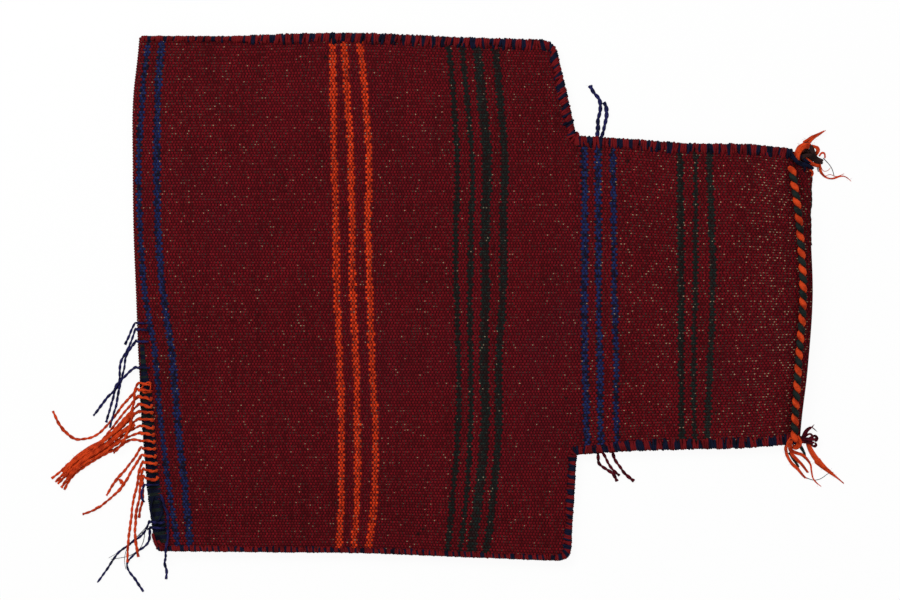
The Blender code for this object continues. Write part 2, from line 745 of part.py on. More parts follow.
def base_fringe(orange, navy):
    fringe_bunch(orange)
    for i, (root, start, route, drops) in FRINGE_ROUTES.items():
        y = fringe_root_y(root)
        name = f"fringe_strand_{i:02d}"
        fold_strand(name, y, start, route, FRINGE_YARN, orange, drops=drops, count=10)
    for name, (root, bound, start, route) in NAVY_ROUTES.items():
        y = fringe_root_y(root)
        fold_strand(name, y, start, route, NAVY_YARN, navy, bound=bound)


def corner_strand(material):
    """A navy end that lies on the front panel and drops over the right side seam."""
    radius = NAVY_YARN / 2
    column = CORNER_STRAND_COLUMN
    edge = Vector((*plan(0.0, column), 0.0))
    top = front_z(edge.x, edge.y) + RIB_HEIGHT + CLEAR + SEAM_YARN + EDGE_CLEAR + radius
    points = []
    for across, down in CORNER_STRAND_ON_CLOTH:
        place = photo_shift(edge, CORNER_STRAND_START, (across, down), 0.0)
        points.append(on_front(place.x, place.y, EDGE_CLEAR + radius))
    for across, down, drop in CORNER_STRAND_OVER_SEAM:
        points.append(photo_shift(edge, CORNER_STRAND_START, (across, down), top - drop))
    for across, down in CORNER_STRAND_ON_GROUND:
        points.append(photo_shift(edge, CORNER_STRAND_START, (across, down), layer(0, NAVY_YARN)))
    yarn("corner_strand_navy", points, NAVY_YARN, material, count=14)


def neck_tail(name, side, beyond_root, start, route, diameter, material):
    """A yarn end left outside the neck's side seam."""
    line = side_line(side)
    line = Line(line[-len(NECK_COLUMNS):])
    out = EDGE_CLEAR + SEAM_YARN + diameter / 4
    edge = line.at(beyond_root)
    anchor = (edge.x, edge.y + side * out)
    points = [Vector((*anchor, layer(1, diameter)))]
    points += [photo_shift(anchor, start, place, layer(0, diameter)) for place in route]
    yarn(name, points, diameter, material, count=8)


def mouth_knot(side, pieces, materials):
    """The yarn knotted at one corner of the mouth, placed from the front lip's corner."""
    row = 2.0 if side == LEFT else 1.0
    anchor = plan(row, 2.0)
    start = LEFT_KNOT_START if side == LEFT else RIGHT_KNOT_START
    for name, (colour, diameter, end_share, count, route) in pieces.items():
        points = [photo_shift(anchor, start, (across, down), z) for across, down, z in route]
        yarn(name, points, diameter, materials[colour], count=count, end_share=end_share)


def back_lip_thread(material):
    """The charcoal thread that shows along the back panel's lip."""
    points = []
    for i in range(LIP_THREAD_POINTS):
        y = lerp(LIP_THREAD_FROM, LIP_THREAD_TO, i / (LIP_THREAD_POINTS - 1))
        across = (y - neck_y(RIGHT, 1.0)) / (neck_y(LEFT, 1.0) - neck_y(RIGHT, 1.0))
        edge = lip_x(across, True)
        waver = LIP_THREAD_WAVER * (i % 2)
        x = edge + CLEAR + LIP_THREAD_YARN / 2 + waver
        points.append(Vector((x, y, lift(edge, y) + WALL / 2)))
    yarn("back_lip_thread", points, LIP_THREAD_YARN, material, count=2 * LIP_THREAD_POINTS)


def plain_material(name, colour, roughness=0.9):
    material = bpy.data.materials.new(name)
    material.use_nodes = True
    shader = material.node_tree.nodes["Principled BSDF"]
    shader.inputs["Base Color"].default_value = (*colour, 1.0)
    shader.inputs["Roughness"].default_value = roughness
    shader.inputs["Metallic"].default_value = 0.0
    material.diffuse_color = (*colour, 1.0)
    return material


def stripe_groups():
    """Each group of stripes: its line along the bag, how it strays, and (offset, width, colour) of each."""
    blue = [(i * BLUE_SPACING, width, NAVY) for i, width in enumerate(BLUE_WIDTHS)]
    orange = [(i * ORANGE_SPACING, ORANGE_WIDTH, ORANGE) for i in (-1, 0, 1)]
    charcoal = [(x, width, CHARCOAL) for x, width in zip(CHARCOAL_PLACES, CHARCOAL_WIDTHS)]
    neck_blue = [(i * NECK_BLUE_SPACING, NECK_STRIPE_WIDTH, NAVY) for i in range(3)]
    neck_charcoal = [(i * NECK_CHARCOAL_SPACING, NECK_STRIPE_WIDTH, CHARCOAL) for i in range(3)]
    straight = (0.0, 0.0)
    return [
        (BLUE_FROM_FOLD - BODY_LENGTH / 2, BLUE_WANDER, blue),
        (ORANGE_OFF_MIDDLE, ORANGE_WANDER, orange),
        (ROOT_X - CHARCOAL_FROM_ROOT, CHARCOAL_WANDER, charcoal),
        (ROOT_X + NECK_BLUE_FROM_ROOT, straight, neck_blue),
        (ROOT_X + NECK_LENGTH - NECK_CHARCOAL_FROM_LIP, straight, neck_charcoal),
    ]


def striped_material():
    """Madder cloth with its woven stripes as fields of colour across X."""
    material = plain_material("striped_kilim", MADDER)
    tree = material.node_tree
    shader = tree.nodes["Principled BSDF"]
    place = tree.nodes.new("ShaderNodeTexCoord").outputs["Object"]
    split = tree.nodes.new("ShaderNodeSeparateXYZ")
    tree.links.new(place, split.inputs[0])

    def maths(operation, *values):
        node = tree.nodes.new("ShaderNodeMath")
        node.operation = operation
        for socket, value in zip(node.inputs, values):
            if isinstance(value, float):
                socket.default_value = value
            else:
                tree.links.new(value, socket)
        return node.outputs[0]

    across = maths("MULTIPLY_ADD", split.outputs["Y"], 1 / BODY_WIDTH, 0.5)
    colour = None
    for line, strays, stripes in stripe_groups():
        curve = tree.nodes.new("ShaderNodeFloatCurve")
        points = curve.mapping.curves[0].points
        while len(points) < len(strays):
            points.new(0.5, 0.5)
        for i, stray in enumerate(strays):
            points[i].location = (i / (len(strays) - 1), 0.5 + stray / STRAY_RANGE)
        curve.mapping.update()
        tree.links.new(across, curve.inputs["Value"])
        stray = maths("MULTIPLY_ADD", curve.outputs[0], STRAY_RANGE, line - STRAY_RANGE / 2)
        along = maths("SUBTRACT", split.outputs["X"], stray)
        for offset, width, stripe_colour in stripes:
            inside = maths("COMPARE", along, offset, width / 2)
            mix = tree.nodes.new("ShaderNodeMix")
            mix.data_type = "RGBA"
            tree.links.new(inside, mix.inputs["Factor"])
            mix.inputs["A"].default_value = (*MADDER, 1.0)
            if colour:
                tree.links.new(colour, mix.inputs["A"])
            mix.inputs["B"].default_value = (*stripe_colour, 1.0)
            colour = mix.outputs["Result"]
    tree.links.new(colour, shader.inputs["Base Color"])
    return material


def build():
    for obj in list(bpy.data.objects):
        bpy.data.objects.remove(obj)
    orange = plain_material("orange_wool", ORANGE)
    charcoal = plain_material("charcoal_wool", CHARCOAL)
    navy = plain_material("navy_wool", NAVY)
    madder = plain_material("madder_wool", MADDER)
    woven_cloth(striped_material())
    side_seam("left_side_seam", LEFT, madder, navy)
    side_seam("right_side_seam", RIGHT, madder, navy)
    mouth_cord_ply("mouth_cord_orange_ply", 0.0, orange)
    mouth_cord_ply("mouth_cord_charcoal_ply", math.pi, charcoal)
    base_edge_binding(charcoal)
    base_fringe(orange, navy)
    corner_strand(navy)
    back_lip_thread(charcoal)
    for name, (side, *place, colour) in NECK_TAILS.items():
        if colour == "navy":
            neck_tail(name, side, *place, NAVY_TAIL_YARN, navy)
        else:
            neck_tail(name, side, *place, MADDER_TAIL_YARN, madder)
    wools = {"orange": orange, "charcoal": charcoal, "madder": madder}
    mouth_knot(LEFT, LEFT_KNOT, wools)
    mouth_knot(RIGHT, RIGHT_KNOT, wools)


build()
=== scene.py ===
"""A striped kilim salt bag, lying flat, with overcast edges, a twisted lip cord and loose yarn ends.

Run it in Blender 4.5 as a script. Units are metres. +X runs from the base fold to the mouth, +Y to the
bag's left and +Z out of its front.
"""

import math
import random

import bmesh
import bpy
import numpy as np
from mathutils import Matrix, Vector


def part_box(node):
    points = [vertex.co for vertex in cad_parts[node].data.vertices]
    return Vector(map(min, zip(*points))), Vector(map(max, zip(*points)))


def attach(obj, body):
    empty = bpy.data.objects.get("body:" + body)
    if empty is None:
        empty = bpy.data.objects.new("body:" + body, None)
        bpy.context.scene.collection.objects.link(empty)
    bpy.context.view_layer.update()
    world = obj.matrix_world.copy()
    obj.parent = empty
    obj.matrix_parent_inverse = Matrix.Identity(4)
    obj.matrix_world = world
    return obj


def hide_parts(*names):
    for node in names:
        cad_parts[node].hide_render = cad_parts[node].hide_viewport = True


bl_info = {
    "name": "Kilim salt bag",
    "version": (1, 0, 0),
    "blender": (4, 5, 0),
    "location": "3D View > Sidebar > Kilim bag",
    "description": "Weaves a striped kilim bag with overcast edges, a lip cord and loose yarn ends",
    "category": "Add Mesh",
}

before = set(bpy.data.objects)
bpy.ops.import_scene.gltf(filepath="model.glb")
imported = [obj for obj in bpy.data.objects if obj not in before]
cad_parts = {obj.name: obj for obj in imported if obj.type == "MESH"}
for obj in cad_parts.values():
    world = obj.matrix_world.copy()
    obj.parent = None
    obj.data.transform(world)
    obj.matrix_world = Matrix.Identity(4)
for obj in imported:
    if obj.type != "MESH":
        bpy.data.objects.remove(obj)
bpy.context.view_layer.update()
BODY = "root"
LEFT = 1
RIGHT = -1

# The photograph's scale and the place in it of the bag's origin, in pixels
PIXEL = 0.0008
ORIGIN_ACROSS = 355.0
ORIGIN_DOWN = 294.0
PHOTO_SIZE = (900, 600)

# How far each hand-woven edge strays from its straight line, at even steps along it
FOLD_WANDER = (0.0168, 0.0104, 0.0060, 0.0024, 0.0004, -0.0016, -0.0022, -0.0020, 0.0032)
SIDE_WANDER = {
    LEFT: (-0.0008, -0.0010, 0.0008, -0.0024, -0.0048),
    RIGHT: (-0.0016, -0.0008, 0.0, 0.0032, 0.0060),
}
NECK_WANDER = {
    LEFT: (0.0, -0.0004, -0.0014, 0.0004, -0.0018),
    RIGHT: (0.0, -0.0012, 0.0, 0.0012, 0.0),
}
FRONT_LIP_WANDER = (-0.0064, -0.0040, 0.0, -0.0032, -0.0096)
BACK_LIP_WANDER = (-0.0104, -0.0040, 0.0, -0.0016, 0.0)

# The woven stripes: colour, width in pixels, and where each lies from the bag's left to its right
BODY_STRIPES = (
    ("navy", 5.2, (149, 142, 138.5, 140, 145, 155.5, 161, 169, 179)),
    ("navy", 6.6, (163, 158, 157, 158.5, 163.5, 172.5, 178, 185, 191)),
    ("orange", 6.6, (332.5, 333.5, 334.5, 336, 337, 340, 341.5, 341.5, 339)),
    ("orange", 6.6, (344, 347.5, 351, 352, 353, 356, 357.5, 357.5, 353)),
    ("orange", 6.6, (359, 365.5, 369, 368, 370, 372, 375, 375, 367)),
    ("charcoal", 5.0, (447, 453.5, 457.5, 456, 456.5, 458.5, 458, 453.5, 447)),
    ("charcoal", 4.8, (461, 467, 472.5, 471, 470, 470.5, 470.5, 467, 460)),
    ("charcoal", 9.0, (476, 482, 487, 485, 485, 484, 485, 479.5, 471)),
    ("charcoal", 7.0, (494, 500, 504.5, 503, 502.5, 499, 498.5, 494, 486)),
)
NECK_STRIPES = (
    ("navy", 6.4, (584, 584, 584, 585, 588)),
    ("navy", 6.0, (597.5, 598, 598.5, 599.5, 601)),
    ("navy", 5.4, (613, 613.5, 614.5, 615.5, 617)),
    ("charcoal", 6.0, (680, 680.5, 680.5, 681, 682)),
    ("charcoal", 4.6, (696, 695.5, 694.5, 693.5, 695)),
    ("charcoal", 6.2, (708, 711, 712, 709, 706.5)),
)
# How far a stripe's track may stray in all, in pixels
TRACK_RANGE = 60.0

# Dark spots on the cloth: pixels across and down, and how wide
SPOTS = (
    (325.5, 57, 3.4), (328, 51, 2.2), (418, 534, 3.2), (423, 529, 2.4), (628, 161, 3.2), (566, 398, 2.4),
    (716, 413, 2.6), (205, 395, 2.0),
)

# The more worn places of the cloth, the left shoulder and the left corner at the fold: x, y, and the
# distances from there at which the wear is full and at which it ends
WORN_SHOULDER = (0.15, 0.19, 0.02, 0.1)
WORN_CORNER = (-0.17, 0.2, 0.02, 0.13)

# Shares of the body's and the neck's length where the cloth has a line of vertices
BODY_COLUMNS = (
    0.0, 0.015, 0.035, 0.06, 0.09, 0.13, 0.17, 0.22, 0.28, 0.35, 0.42, 0.5, 0.58, 0.65, 0.72, 0.78,
    0.83, 0.87, 0.905, 0.935, 0.96, 0.98, 1.0,
)
NECK_COLUMNS = (0.0, 0.05, 0.11, 0.18, 0.27, 0.38, 0.5, 0.62, 0.73, 0.82, 0.89, 0.95, 1.0)
SHOULDER_STEPS = 60
FOLD_STEPS = 8
# Rows of vertices to a rib, on the faces that show and on the plain lining
RIB_SAMPLES = 4
LINING_SAMPLES = 0.25

# How far in from an edge the seam's yarn underneath lifts the cloth by its whole height, and the way
# over which the lift then ends
LIFT_START = 0.0062
LIFT_RUN = 0.02
# How far the cloth's slow waves run aslant
SLACK_SLANT = 0.4

# Wool that has no setting of its own: the cloth's purple patches, the dull threads in its stripes, the
# shaded warp, the dark spots, the knotted tuft, the loose strands and the left knot's loop
PURPLE = (0.078, 0.0036, 0.0098)
DULL_ORANGE = (0.33, 0.02, 0.007)
DULL_CHARCOAL = (0.02, 0.009, 0.009)
SHADED_WARP = (0.03, 0.036, 0.028)
STAIN = (0.006, 0.005, 0.005)
DEEP_RED = (0.085, 0.0045, 0.0105)
INK = (0.015, 0.0145, 0.075)
BROWN = (0.031, 0.0135, 0.0125)
WHITE = (1.0, 1.0, 1.0, 1.0)
# The sheen of all the wool, the turns of a yarn's grooves in a metre, and the sides of a modelled yarn
WOOL_SHEEN = 0.06
WINDS_PER_METRE = 130.0
YARN_SIDES = 7
# A stray fibre's bend, how far it tumbles, in radians, and its shortest and longest share of the length
FIBRE_BEND = {"Start": (0.0, 0.0, -0.1), "Middle": (0.1, 0.0, 0.55), "End": (0.75, 0.1, 0.75)}
FIBRE_TUMBLE = 0.7
FIBRE_SHORTEST = 0.4
FIBRE_LONGEST = 1.3
# What is added to a tree's seed for its second random number
STRETCH_SEED = 5.0
LENGTH_SEED = 3.0

# The record's slot and the material of each kind of yarn. The cord's material is that of its fibres
YARNS = {
    "orange": ("orange_wool", "orange_yarn"),
    "cord": ("orange_wool", "charcoal_yarn"),
    "ink": ("navy_wool", "ink_yarn"),
    "navy": ("navy_wool", "dark_navy_yarn"),
    "charcoal": ("charcoal_wool", "charcoal_yarn"),
    "brown": ("charcoal_wool", "brown_yarn"),
    "deep red": ("madder_wool", "deep_red_yarn"),
    "seam": ("seam_yarn", "red_yarn"),
    "seam navy": ("seam_yarn", "dark_navy_yarn"),
}


def lerp(a, b, share):
    return a + (b - a) * share


def clamp(value, low=0.0, high=1.0):
    return min(max(value, low), high)


def smooth(share):
    share = clamp(share)
    return share * share * (3 - 2 * share)


def wander(values, share):
    """A smooth curve through evenly spaced values, read at a share from 0 to 1."""
    place = clamp(share) * (len(values) - 1)
    i = min(int(place), len(values) - 2)
    t = place - i
    before = values[max(i - 1, 0)]
    a = values[i]
    b = values[i + 1]
    after = values[min(i + 2, len(values) - 1)]
    start = (b - before) / 2
    end = (after - a) / 2
    return a + t * (start + t * (3 * (b - a) - 2 * start - end + t * (2 * (a - b) + start + end)))


def size(label, default, text, low=0.0, high=1.0):
    return bpy.props.FloatProperty(
        name=label, description=text, default=default, min=low, max=high, precision=4, unit="LENGTH"
    )


def tint(label, default, text):
    return bpy.props.FloatVectorProperty(
        name=label, description=text, default=default, size=3, min=0.0, max=1.0, subtype="COLOR"
    )


class ClothSizes(bpy.types.PropertyGroup):
    """Sizes of the folded cloth."""

    body_length: size("Body length", 0.352, "From the base fold to the neck's root")
    body_width: size("Body width", 0.4128, "Across the body")
    neck_length: size("Neck length", 0.183, "From the neck's root to the front lip")
    neck_root: size("Neck width at its root", 0.252, "Across the neck where it leaves the body")
    neck_mouth: size("Neck width at the mouth", 0.2328, "Across the neck at its lips")
    neck_offset: size("Neck offset", -0.0012, "How far the neck lies to the left of the middle", -0.1)
    back_lip: size("Back lip reach", 0.0078, "How far the back panel runs on past the front lip")
    left_slant: size("Left shoulder slant", 0.0176, "How far the left shoulder falls back")
    right_slant: size("Right shoulder slant", 0.005, "How far the right shoulder falls back")
    corner: size("Corner radius", 0.008, "Radius of the outer shoulder corners")
    wall: size("Cloth thickness", 0.0026, "Thickness of one layer without its ribs")
    puff: size("Puff", 0.008, "Room between the panels in the body")
    mouth_gap: size("Mouth gap", 0.0084, "Room between the panels at the mouth")
    seam_gap: size("Seam gap", 0.0004, "Room between the panels at the edges")
    rise: size("Rise", 0.06, "How far from an edge the front panel takes to rise")
    slack: size("Slack", 0.0007, "Height of the cloth's slow waves")
    slack_length: size("Slack length", 0.21, "Length of the cloth's slow waves")
    rib_pitch: size("Rib pitch", 0.0022, "Distance between the ribs of the weave")
    rib_height: size("Rib height", 0.0006, "Height of a rib over the groove beside it")
    bead: size("Bead length", 0.00245, "Length of one float of the weft over a warp, with its gap")
    neck_bead: size("Neck bead length", 0.0027, "Length of one float of the looser weft in the neck")


class YarnSizes(bpy.types.PropertyGroup):
    """Sizes of the yarns and the stitches."""

    stitch_spacing: size("Stitch spacing", 0.0016, "Distance between strands of the overcast edges")
    stitch_yarn: size("Stitch yarn", 0.0021, "Thickness of the overcasting yarn")
    stitch_reach: size("Stitch reach", 0.0054, "How far a stitch runs in over the front")
    stitch_slant: size("Stitch slant", 0.0005, "How far a stitch leans along the edge")
    seam_lift: size("Seam lift", 0.0014, "How far the seams keep the edges off the ground")
    cord_ply: size("Cord ply", 0.003, "Thickness of a ply at the mouth cord's sides")
    cord_orbit: size("Cord orbit", 0.0015, "Distance of a ply from the middle of the mouth cord")
    cord_lead: size("Cord lead", 0.0134, "Length of one turn of the mouth cord")
    strand_twist: size("Strand twist", 0.0105, "Length of one turn of a strand's plies")
    fibre: size("Fibre", 0.00007, "Thickness of a stray wool fibre", 0.0, 0.01)
    fibre_length: size("Fibre length", 0.0016, "Length of a stray wool fibre")
    seed: bpy.props.IntProperty(
        name="Seed", description="Seed of everything irregular", default=11, min=0, max=9999
    )


class WoolColours(bpy.types.PropertyGroup):
    """Colours of the wool."""

    madder: tint("Madder", (0.126, 0.0038, 0.0074), "The cloth's ground")
    red: tint("Red", (0.138, 0.0066, 0.0085), "The red overcasting yarn")
    navy: tint("Navy", (0.0145, 0.0245, 0.108), "The navy stripes")
    dark_navy: tint("Dark navy", (0.0055, 0.0075, 0.023), "The navy overcasting yarn")
    orange: tint("Orange", (0.76, 0.048, 0.0095), "The orange stripes")
    orange_yarn: tint("Orange yarn", (0.58, 0.052, 0.0105), "The cord, the fringe and the knots")
    charcoal: tint("Charcoal", (0.0118, 0.0185, 0.0165), "The charcoal stripes and yarns")
    warp: tint("Warp", (0.36, 0.27, 0.165), "The tan warp that shows where the weft is worn")
    # Painted shade: the colour put in the grooves between the floats, where shade falls
    painted_groove_shade: tint("Groove", (0.0105, 0.0026, 0.003), "The dark grooves of the weave")


class StageLooks(bpy.types.PropertyGroup):
    """The floor, the lights and the camera."""

    floor_side: size("Floor side", 6.0, "Side of the square floor", 0.0, 50.0)
    lens: bpy.props.FloatProperty(
        name="Lens", description="Focal length of the camera in millimetres", default=135.0, min=1.0
    )
    lamp_power: bpy.props.FloatProperty(
        name="Lamp power", description="Power of the main lamp", default=23.0, min=0.0, unit="POWER"
    )
    sky: bpy.props.FloatProperty(
        name="Sky", description="Strength of the even light from all round", default=0.46, min=0.0,
        max=1.0, subtype="FACTOR",
    )


GROUPS = {
    "kilim_cloth": ClothSizes,
    "kilim_yarn": YarnSizes,
    "kilim_colours": WoolColours,
    "kilim_stage": StageLooks,
}


class BagShape:
    """The bag's outline and the height of its panels, from the sizes in the panel."""

    def __init__(self, sizes, seam_lift):
        self.s = sizes
        self.seam_lift = seam_lift
        self.root_x = sizes.body_length / 2
        self.fold_radius = sizes.wall + sizes.seam_gap / 2

    def fold_x(self, y):
        return -self.s.body_length / 2 + wander(FOLD_WANDER, y / self.s.body_width + 0.5)

    def side_y(self, side, along):
        return side * (self.s.body_width / 2 + wander(SIDE_WANDER[side], along))

    def neck_y(self, side, along):
        half = lerp(self.s.neck_root, self.s.neck_mouth, along) / 2
        return self.s.neck_offset + side * (half + wander(NECK_WANDER[side], along))

    def shoulder_x(self, y):
        side = LEFT if y > self.s.neck_offset else RIGHT
        slant = self.s.left_slant if side == LEFT else self.s.right_slant
        inner = self.neck_y(side, 0.0)
        outer = self.side_y(side, 1.0)
        x = self.root_x - slant * clamp((y - inner) / (outer - inner))
        inset = self.s.corner - abs(outer - y)
        if inset > 0:
            x -= self.s.corner - math.sqrt(max(self.s.corner**2 - inset**2, 0.0))
        return x

    def lip_x(self, across, back):
        straight = self.root_x + self.s.neck_length
        if back:
            return straight + self.s.back_lip + wander(BACK_LIP_WANDER, across)
        return straight + wander(FRONT_LIP_WANDER, across)

    def plan(self, row, column, back=False):
        """(x, y) of a grid place. Rows 0 to 1 are the right flank, 1 to 2 the neck's width and 2 to 3
        the left flank. Columns 0 to 1 are the body and 1 to 2 the neck."""
        if column > 1:
            across = row - 1
            x = lerp(self.root_x, self.lip_x(across, back), column - 1)
            along = (x - self.root_x) / self.s.neck_length
            return x, lerp(self.neck_y(RIGHT, along), self.neck_y(LEFT, along), across)
        if row < 1:
            y = lerp(self.side_y(RIGHT, column), self.neck_y(RIGHT, 0.0), row)
        elif row <= 2:
            y = lerp(self.neck_y(RIGHT, 0.0), self.neck_y(LEFT, 0.0), row - 1)
        else:
            y = lerp(self.neck_y(LEFT, 0.0), self.side_y(LEFT, column), row - 2)
        return lerp(self.fold_x(y) + self.fold_radius, self.shoulder_x(y), column), y

    def from_seam(self, x, y):
        """Distance from the nearest stitched edge."""
        if x >= self.root_x:
            along = (x - self.root_x) / self.s.neck_length
            return min(self.neck_y(LEFT, along) - y, y - self.neck_y(RIGHT, along))
        start = self.fold_x(y)
        end = self.shoulder_x(y)
        along = clamp((x - start) / (end - start))
        gaps = [self.side_y(LEFT, along) - y, y - self.side_y(RIGHT, along)]
        if self.neck_y(RIGHT, 0.0) <= y <= self.neck_y(LEFT, 0.0):
            gaps.append(math.hypot(self.root_x - x, self.neck_y(LEFT, 0.0) - y))
            gaps.append(math.hypot(self.root_x - x, y - self.neck_y(RIGHT, 0.0)))
        else:
            gaps.append(end - x)
        return min(gaps)

    def lift(self, x, y):
        """How far the seam's yarn underneath keeps the cloth off the ground."""
        beyond = self.from_seam(x, y) - LIFT_START
        return self.seam_lift * (1 - smooth(beyond / LIFT_RUN))

    def gap(self, x, y):
        """The room between the two panels."""
        s = self.s
        rise = smooth(min(self.from_seam(x, y), x - self.fold_x(y)) / s.rise)
        mouth = smooth((x - (self.root_x + s.neck_length - s.rise)) / s.rise)
        waves = math.sin(math.tau * (x + SLACK_SLANT * y) / s.slack_length)
        slack = s.slack * waves * math.cos(math.tau * y / s.slack_length)
        return s.seam_gap + (lerp(s.puff, s.mouth_gap, mouth) - s.seam_gap + slack) * rise

    def front_z(self, x, y):
        return self.lift(x, y) + 2 * self.s.wall + self.gap(x, y)

    def fold_middle(self, y):
        x = self.fold_x(y) + self.fold_radius
        return x, self.lift(x, y) + self.s.wall + self.gap(x, y) / 2


def adds_math(operation, swapped=False):
    """A method for Value that adds one Math node. Swapped, it takes the other number first."""

    def method(value, *others):
        numbers = (*others, value) if swapped else (value, *others)
        return value.graph.math(operation, *numbers)

    return method


class Value:
    """A number in a node tree. Python's operators on it add the Math nodes that work them out."""

    def __init__(self, graph, socket):
        self.graph = graph
        self.socket = socket

    __add__ = __radd__ = adds_math("ADD")
    __sub__ = adds_math("SUBTRACT")
    __rsub__ = adds_math("SUBTRACT", swapped=True)
    __mul__ = __rmul__ = adds_math("MULTIPLY")
    __truediv__ = adds_math("DIVIDE")
    __pow__ = adds_math("POWER")
    __mod__ = adds_math("FLOORED_MODULO")
    __lt__ = adds_math("LESS_THAN")
    __gt__ = adds_math("GREATER_THAN")
    __abs__ = adds_math("ABSOLUTE")
    smaller = adds_math("MINIMUM")
    larger = adds_math("MAXIMUM")
    floor = adds_math("FLOOR")
    sine = adds_math("SINE")
    cosine = adds_math("COSINE")

    def ramp(self, low, high):
        """0 up to low, 1 from high, smooth between them."""
        return self.graph.node(
            "ShaderNodeMapRange",
            {"interpolation_type": "SMOOTHSTEP"},
            {"Value": self, "From Min": low, "From Max": high},
        )


class Graph:
    """Adds nodes to a shader or geometry tree."""

    def __init__(self, tree):
        self.tree = tree

    def node(self, kind, settings=None, values=None, output=0):
        """Adds one node. Its settings are set first, then the values or links of its sockets."""
        node = self.tree.nodes.new(kind)
        for name, setting in (settings or {}).items():
            setattr(node, name, setting)
        for name, value in (values or {}).items():
            socket = self.socket_of(node, name)
            if isinstance(value, Value):
                value = [value]
            if isinstance(value, list):
                for link in value:
                    self.tree.links.new(link.socket, socket)
            elif value is not None:
                socket.default_value = value
        if not node.outputs:
            return node
        found = node.outputs[output] if isinstance(output, int) else self.output_of(node, output)
        return Value(self, found)

    @staticmethod
    def socket_of(node, name):
        if isinstance(name, int):
            return node.inputs[name]
        shown = [s for s in node.inputs if s.enabled and s.name == name]
        return shown[0] if shown else next(s for s in node.inputs if s.identifier == name)

    @staticmethod
    def output_of(node, name):
        return next(s for s in node.outputs if s.enabled and s.name == name)

    def math(self, operation, *values):
        return self.node("ShaderNodeMath", {"operation": operation}, dict(enumerate(values)))

    def vector(self, x=0.0, y=0.0, z=0.0):
        return self.node("ShaderNodeCombineXYZ", None, {"X": x, "Y": y, "Z": z})

    def split(self, vector):
        node = self.node("ShaderNodeSeparateXYZ", None, {0: vector}).socket.node
        return [Value(self, socket) for socket in node.outputs]

    def combine(self, operation, a, b):
        return self.node("ShaderNodeVectorMath", {"operation": operation}, {0: a, 1: b})

    def scaled(self, vector, factor):
        return self.node("ShaderNodeVectorMath", {"operation": "SCALE"}, {0: vector, "Scale": factor})

    def near(self, x, y, inner, outer):
        """1 where the point (x, y) is within the inner distance of 0, and 0 beyond the outer one."""
        flat = {0: self.vector(x, y)}
        away = self.node("ShaderNodeVectorMath", {"operation": "LENGTH"}, flat, "Value")
        return 1.0 - away.ramp(inner, outer)

    def mix(self, factor, a, b):
        """Colour a where the factor is 0 and colour b where it is 1."""
        values = {"Factor_Float": factor, "A_Color": opaque(a), "B_Color": opaque(b)}
        return self.node("ShaderNodeMix", {"data_type": "RGBA"}, values, "Result")

    def noise(self, place, scale, detail=2.0, roughness=0.5):
        values = {"Vector": place, "Scale": scale, "Detail": detail, "Roughness": roughness}
        return self.node("ShaderNodeTexNoise", {"noise_dimensions": "3D"}, values)

    def chance(self, *place):
        """A random number from 0 to 1 that is the same wherever the three numbers are the same."""
        values = {"Vector": self.vector(*place)}
        return self.node("ShaderNodeTexWhiteNoise", {"noise_dimensions": "3D"}, values)

    def bump(self, height, strength, distance):
        values = {"Strength": strength, "Distance": distance, "Height": height}
        return self.node("ShaderNodeBump", None, values)

    def curve(self, value, heights):
        """A smooth curve through evenly spaced heights, each from 0 to 1."""
        curve = self.tree.nodes.new("ShaderNodeFloatCurve")
        points = curve.mapping.curves[0].points
        while len(points) < len(heights):
            points.new(0.5, 0.5)
        for i, height in enumerate(heights):
            points[i].location = (i / (len(heights) - 1), height)
        curve.mapping.update()
        self.tree.links.new(value.socket, curve.inputs["Value"])
        return Value(self, curve.outputs[0])

    def named(self, name, kind="FLOAT"):
        """The value of a named attribute at each point."""
        return self.node("GeometryNodeInputNamedAttribute", {"data_type": kind}, {"Name": name})

    def store(self, geometry, name, value, kind="FLOAT"):
        settings = {"data_type": kind, "domain": "POINT"}
        values = {"Geometry": geometry, "Name": name, "Value": value}
        return self.node("GeometryNodeStoreNamedAttribute", settings, values)

    def shade_smooth(self, geometry):
        return self.node("GeometryNodeSetShadeSmooth", None, {"Geometry": geometry})

    def realized(self, geometry):
        return self.node("GeometryNodeRealizeInstances", None, {"Geometry": geometry})

    def dyed(self, geometry, material, selection=None):
        values = {"Geometry": geometry, "Selection": selection, "Material": material}
        return self.node("GeometryNodeSetMaterial", None, values)

    def even_curve(self, mesh, step):
        """A mesh of loose edges as a curve with a point at every step."""
        line = self.node("GeometryNodeMeshToCurve", None, {"Mesh": mesh})
        values = {"Curve": line, "Length": step}
        return self.node("GeometryNodeResampleCurve", {"mode": "LENGTH"}, values)

    def random(self, low, high, seed, index=None, kind="FLOAT"):
        """A random value for each point or index. The sockets' names end as the kind of value says."""
        ending, output = {"FLOAT_VECTOR": ("", 0), "FLOAT": ("_001", 1), "INT": ("_002", 2)}[kind]
        values = {f"Min{ending}": low, f"Max{ending}": high, "ID": index, "Seed": seed}
        return self.node("FunctionNodeRandomValue", {"data_type": kind}, values, output)

    def turned(self, rotation, angles):
        """A rotation turned on by the angles, about its own axes."""
        extra = self.node("FunctionNodeEulerToRotation", None, {"Euler": angles})
        values = {"Rotation": rotation, "Rotate By": extra}
        return self.node("FunctionNodeRotateRotation", {"rotation_space": "LOCAL"}, values)


def opaque(colour):
    return colour if isinstance(colour, Value) else (*colour, 1.0)


def new_material(name):
    """A material with an empty tree, and its graph."""
    material = bpy.data.materials.new(name)
    material.use_nodes = True
    material.node_tree.nodes.clear()
    return material, Graph(material.node_tree)


def put_shader(graph, colour, roughness, normal):
    values = {
        "Base Color": colour, "Roughness": roughness, "Normal": normal, "Specular IOR Level": WOOL_SHEEN,
    }
    shader = graph.node("ShaderNodeBsdfPrincipled", None, values)
    graph.node("ShaderNodeOutputMaterial", None, {"Surface": shader})


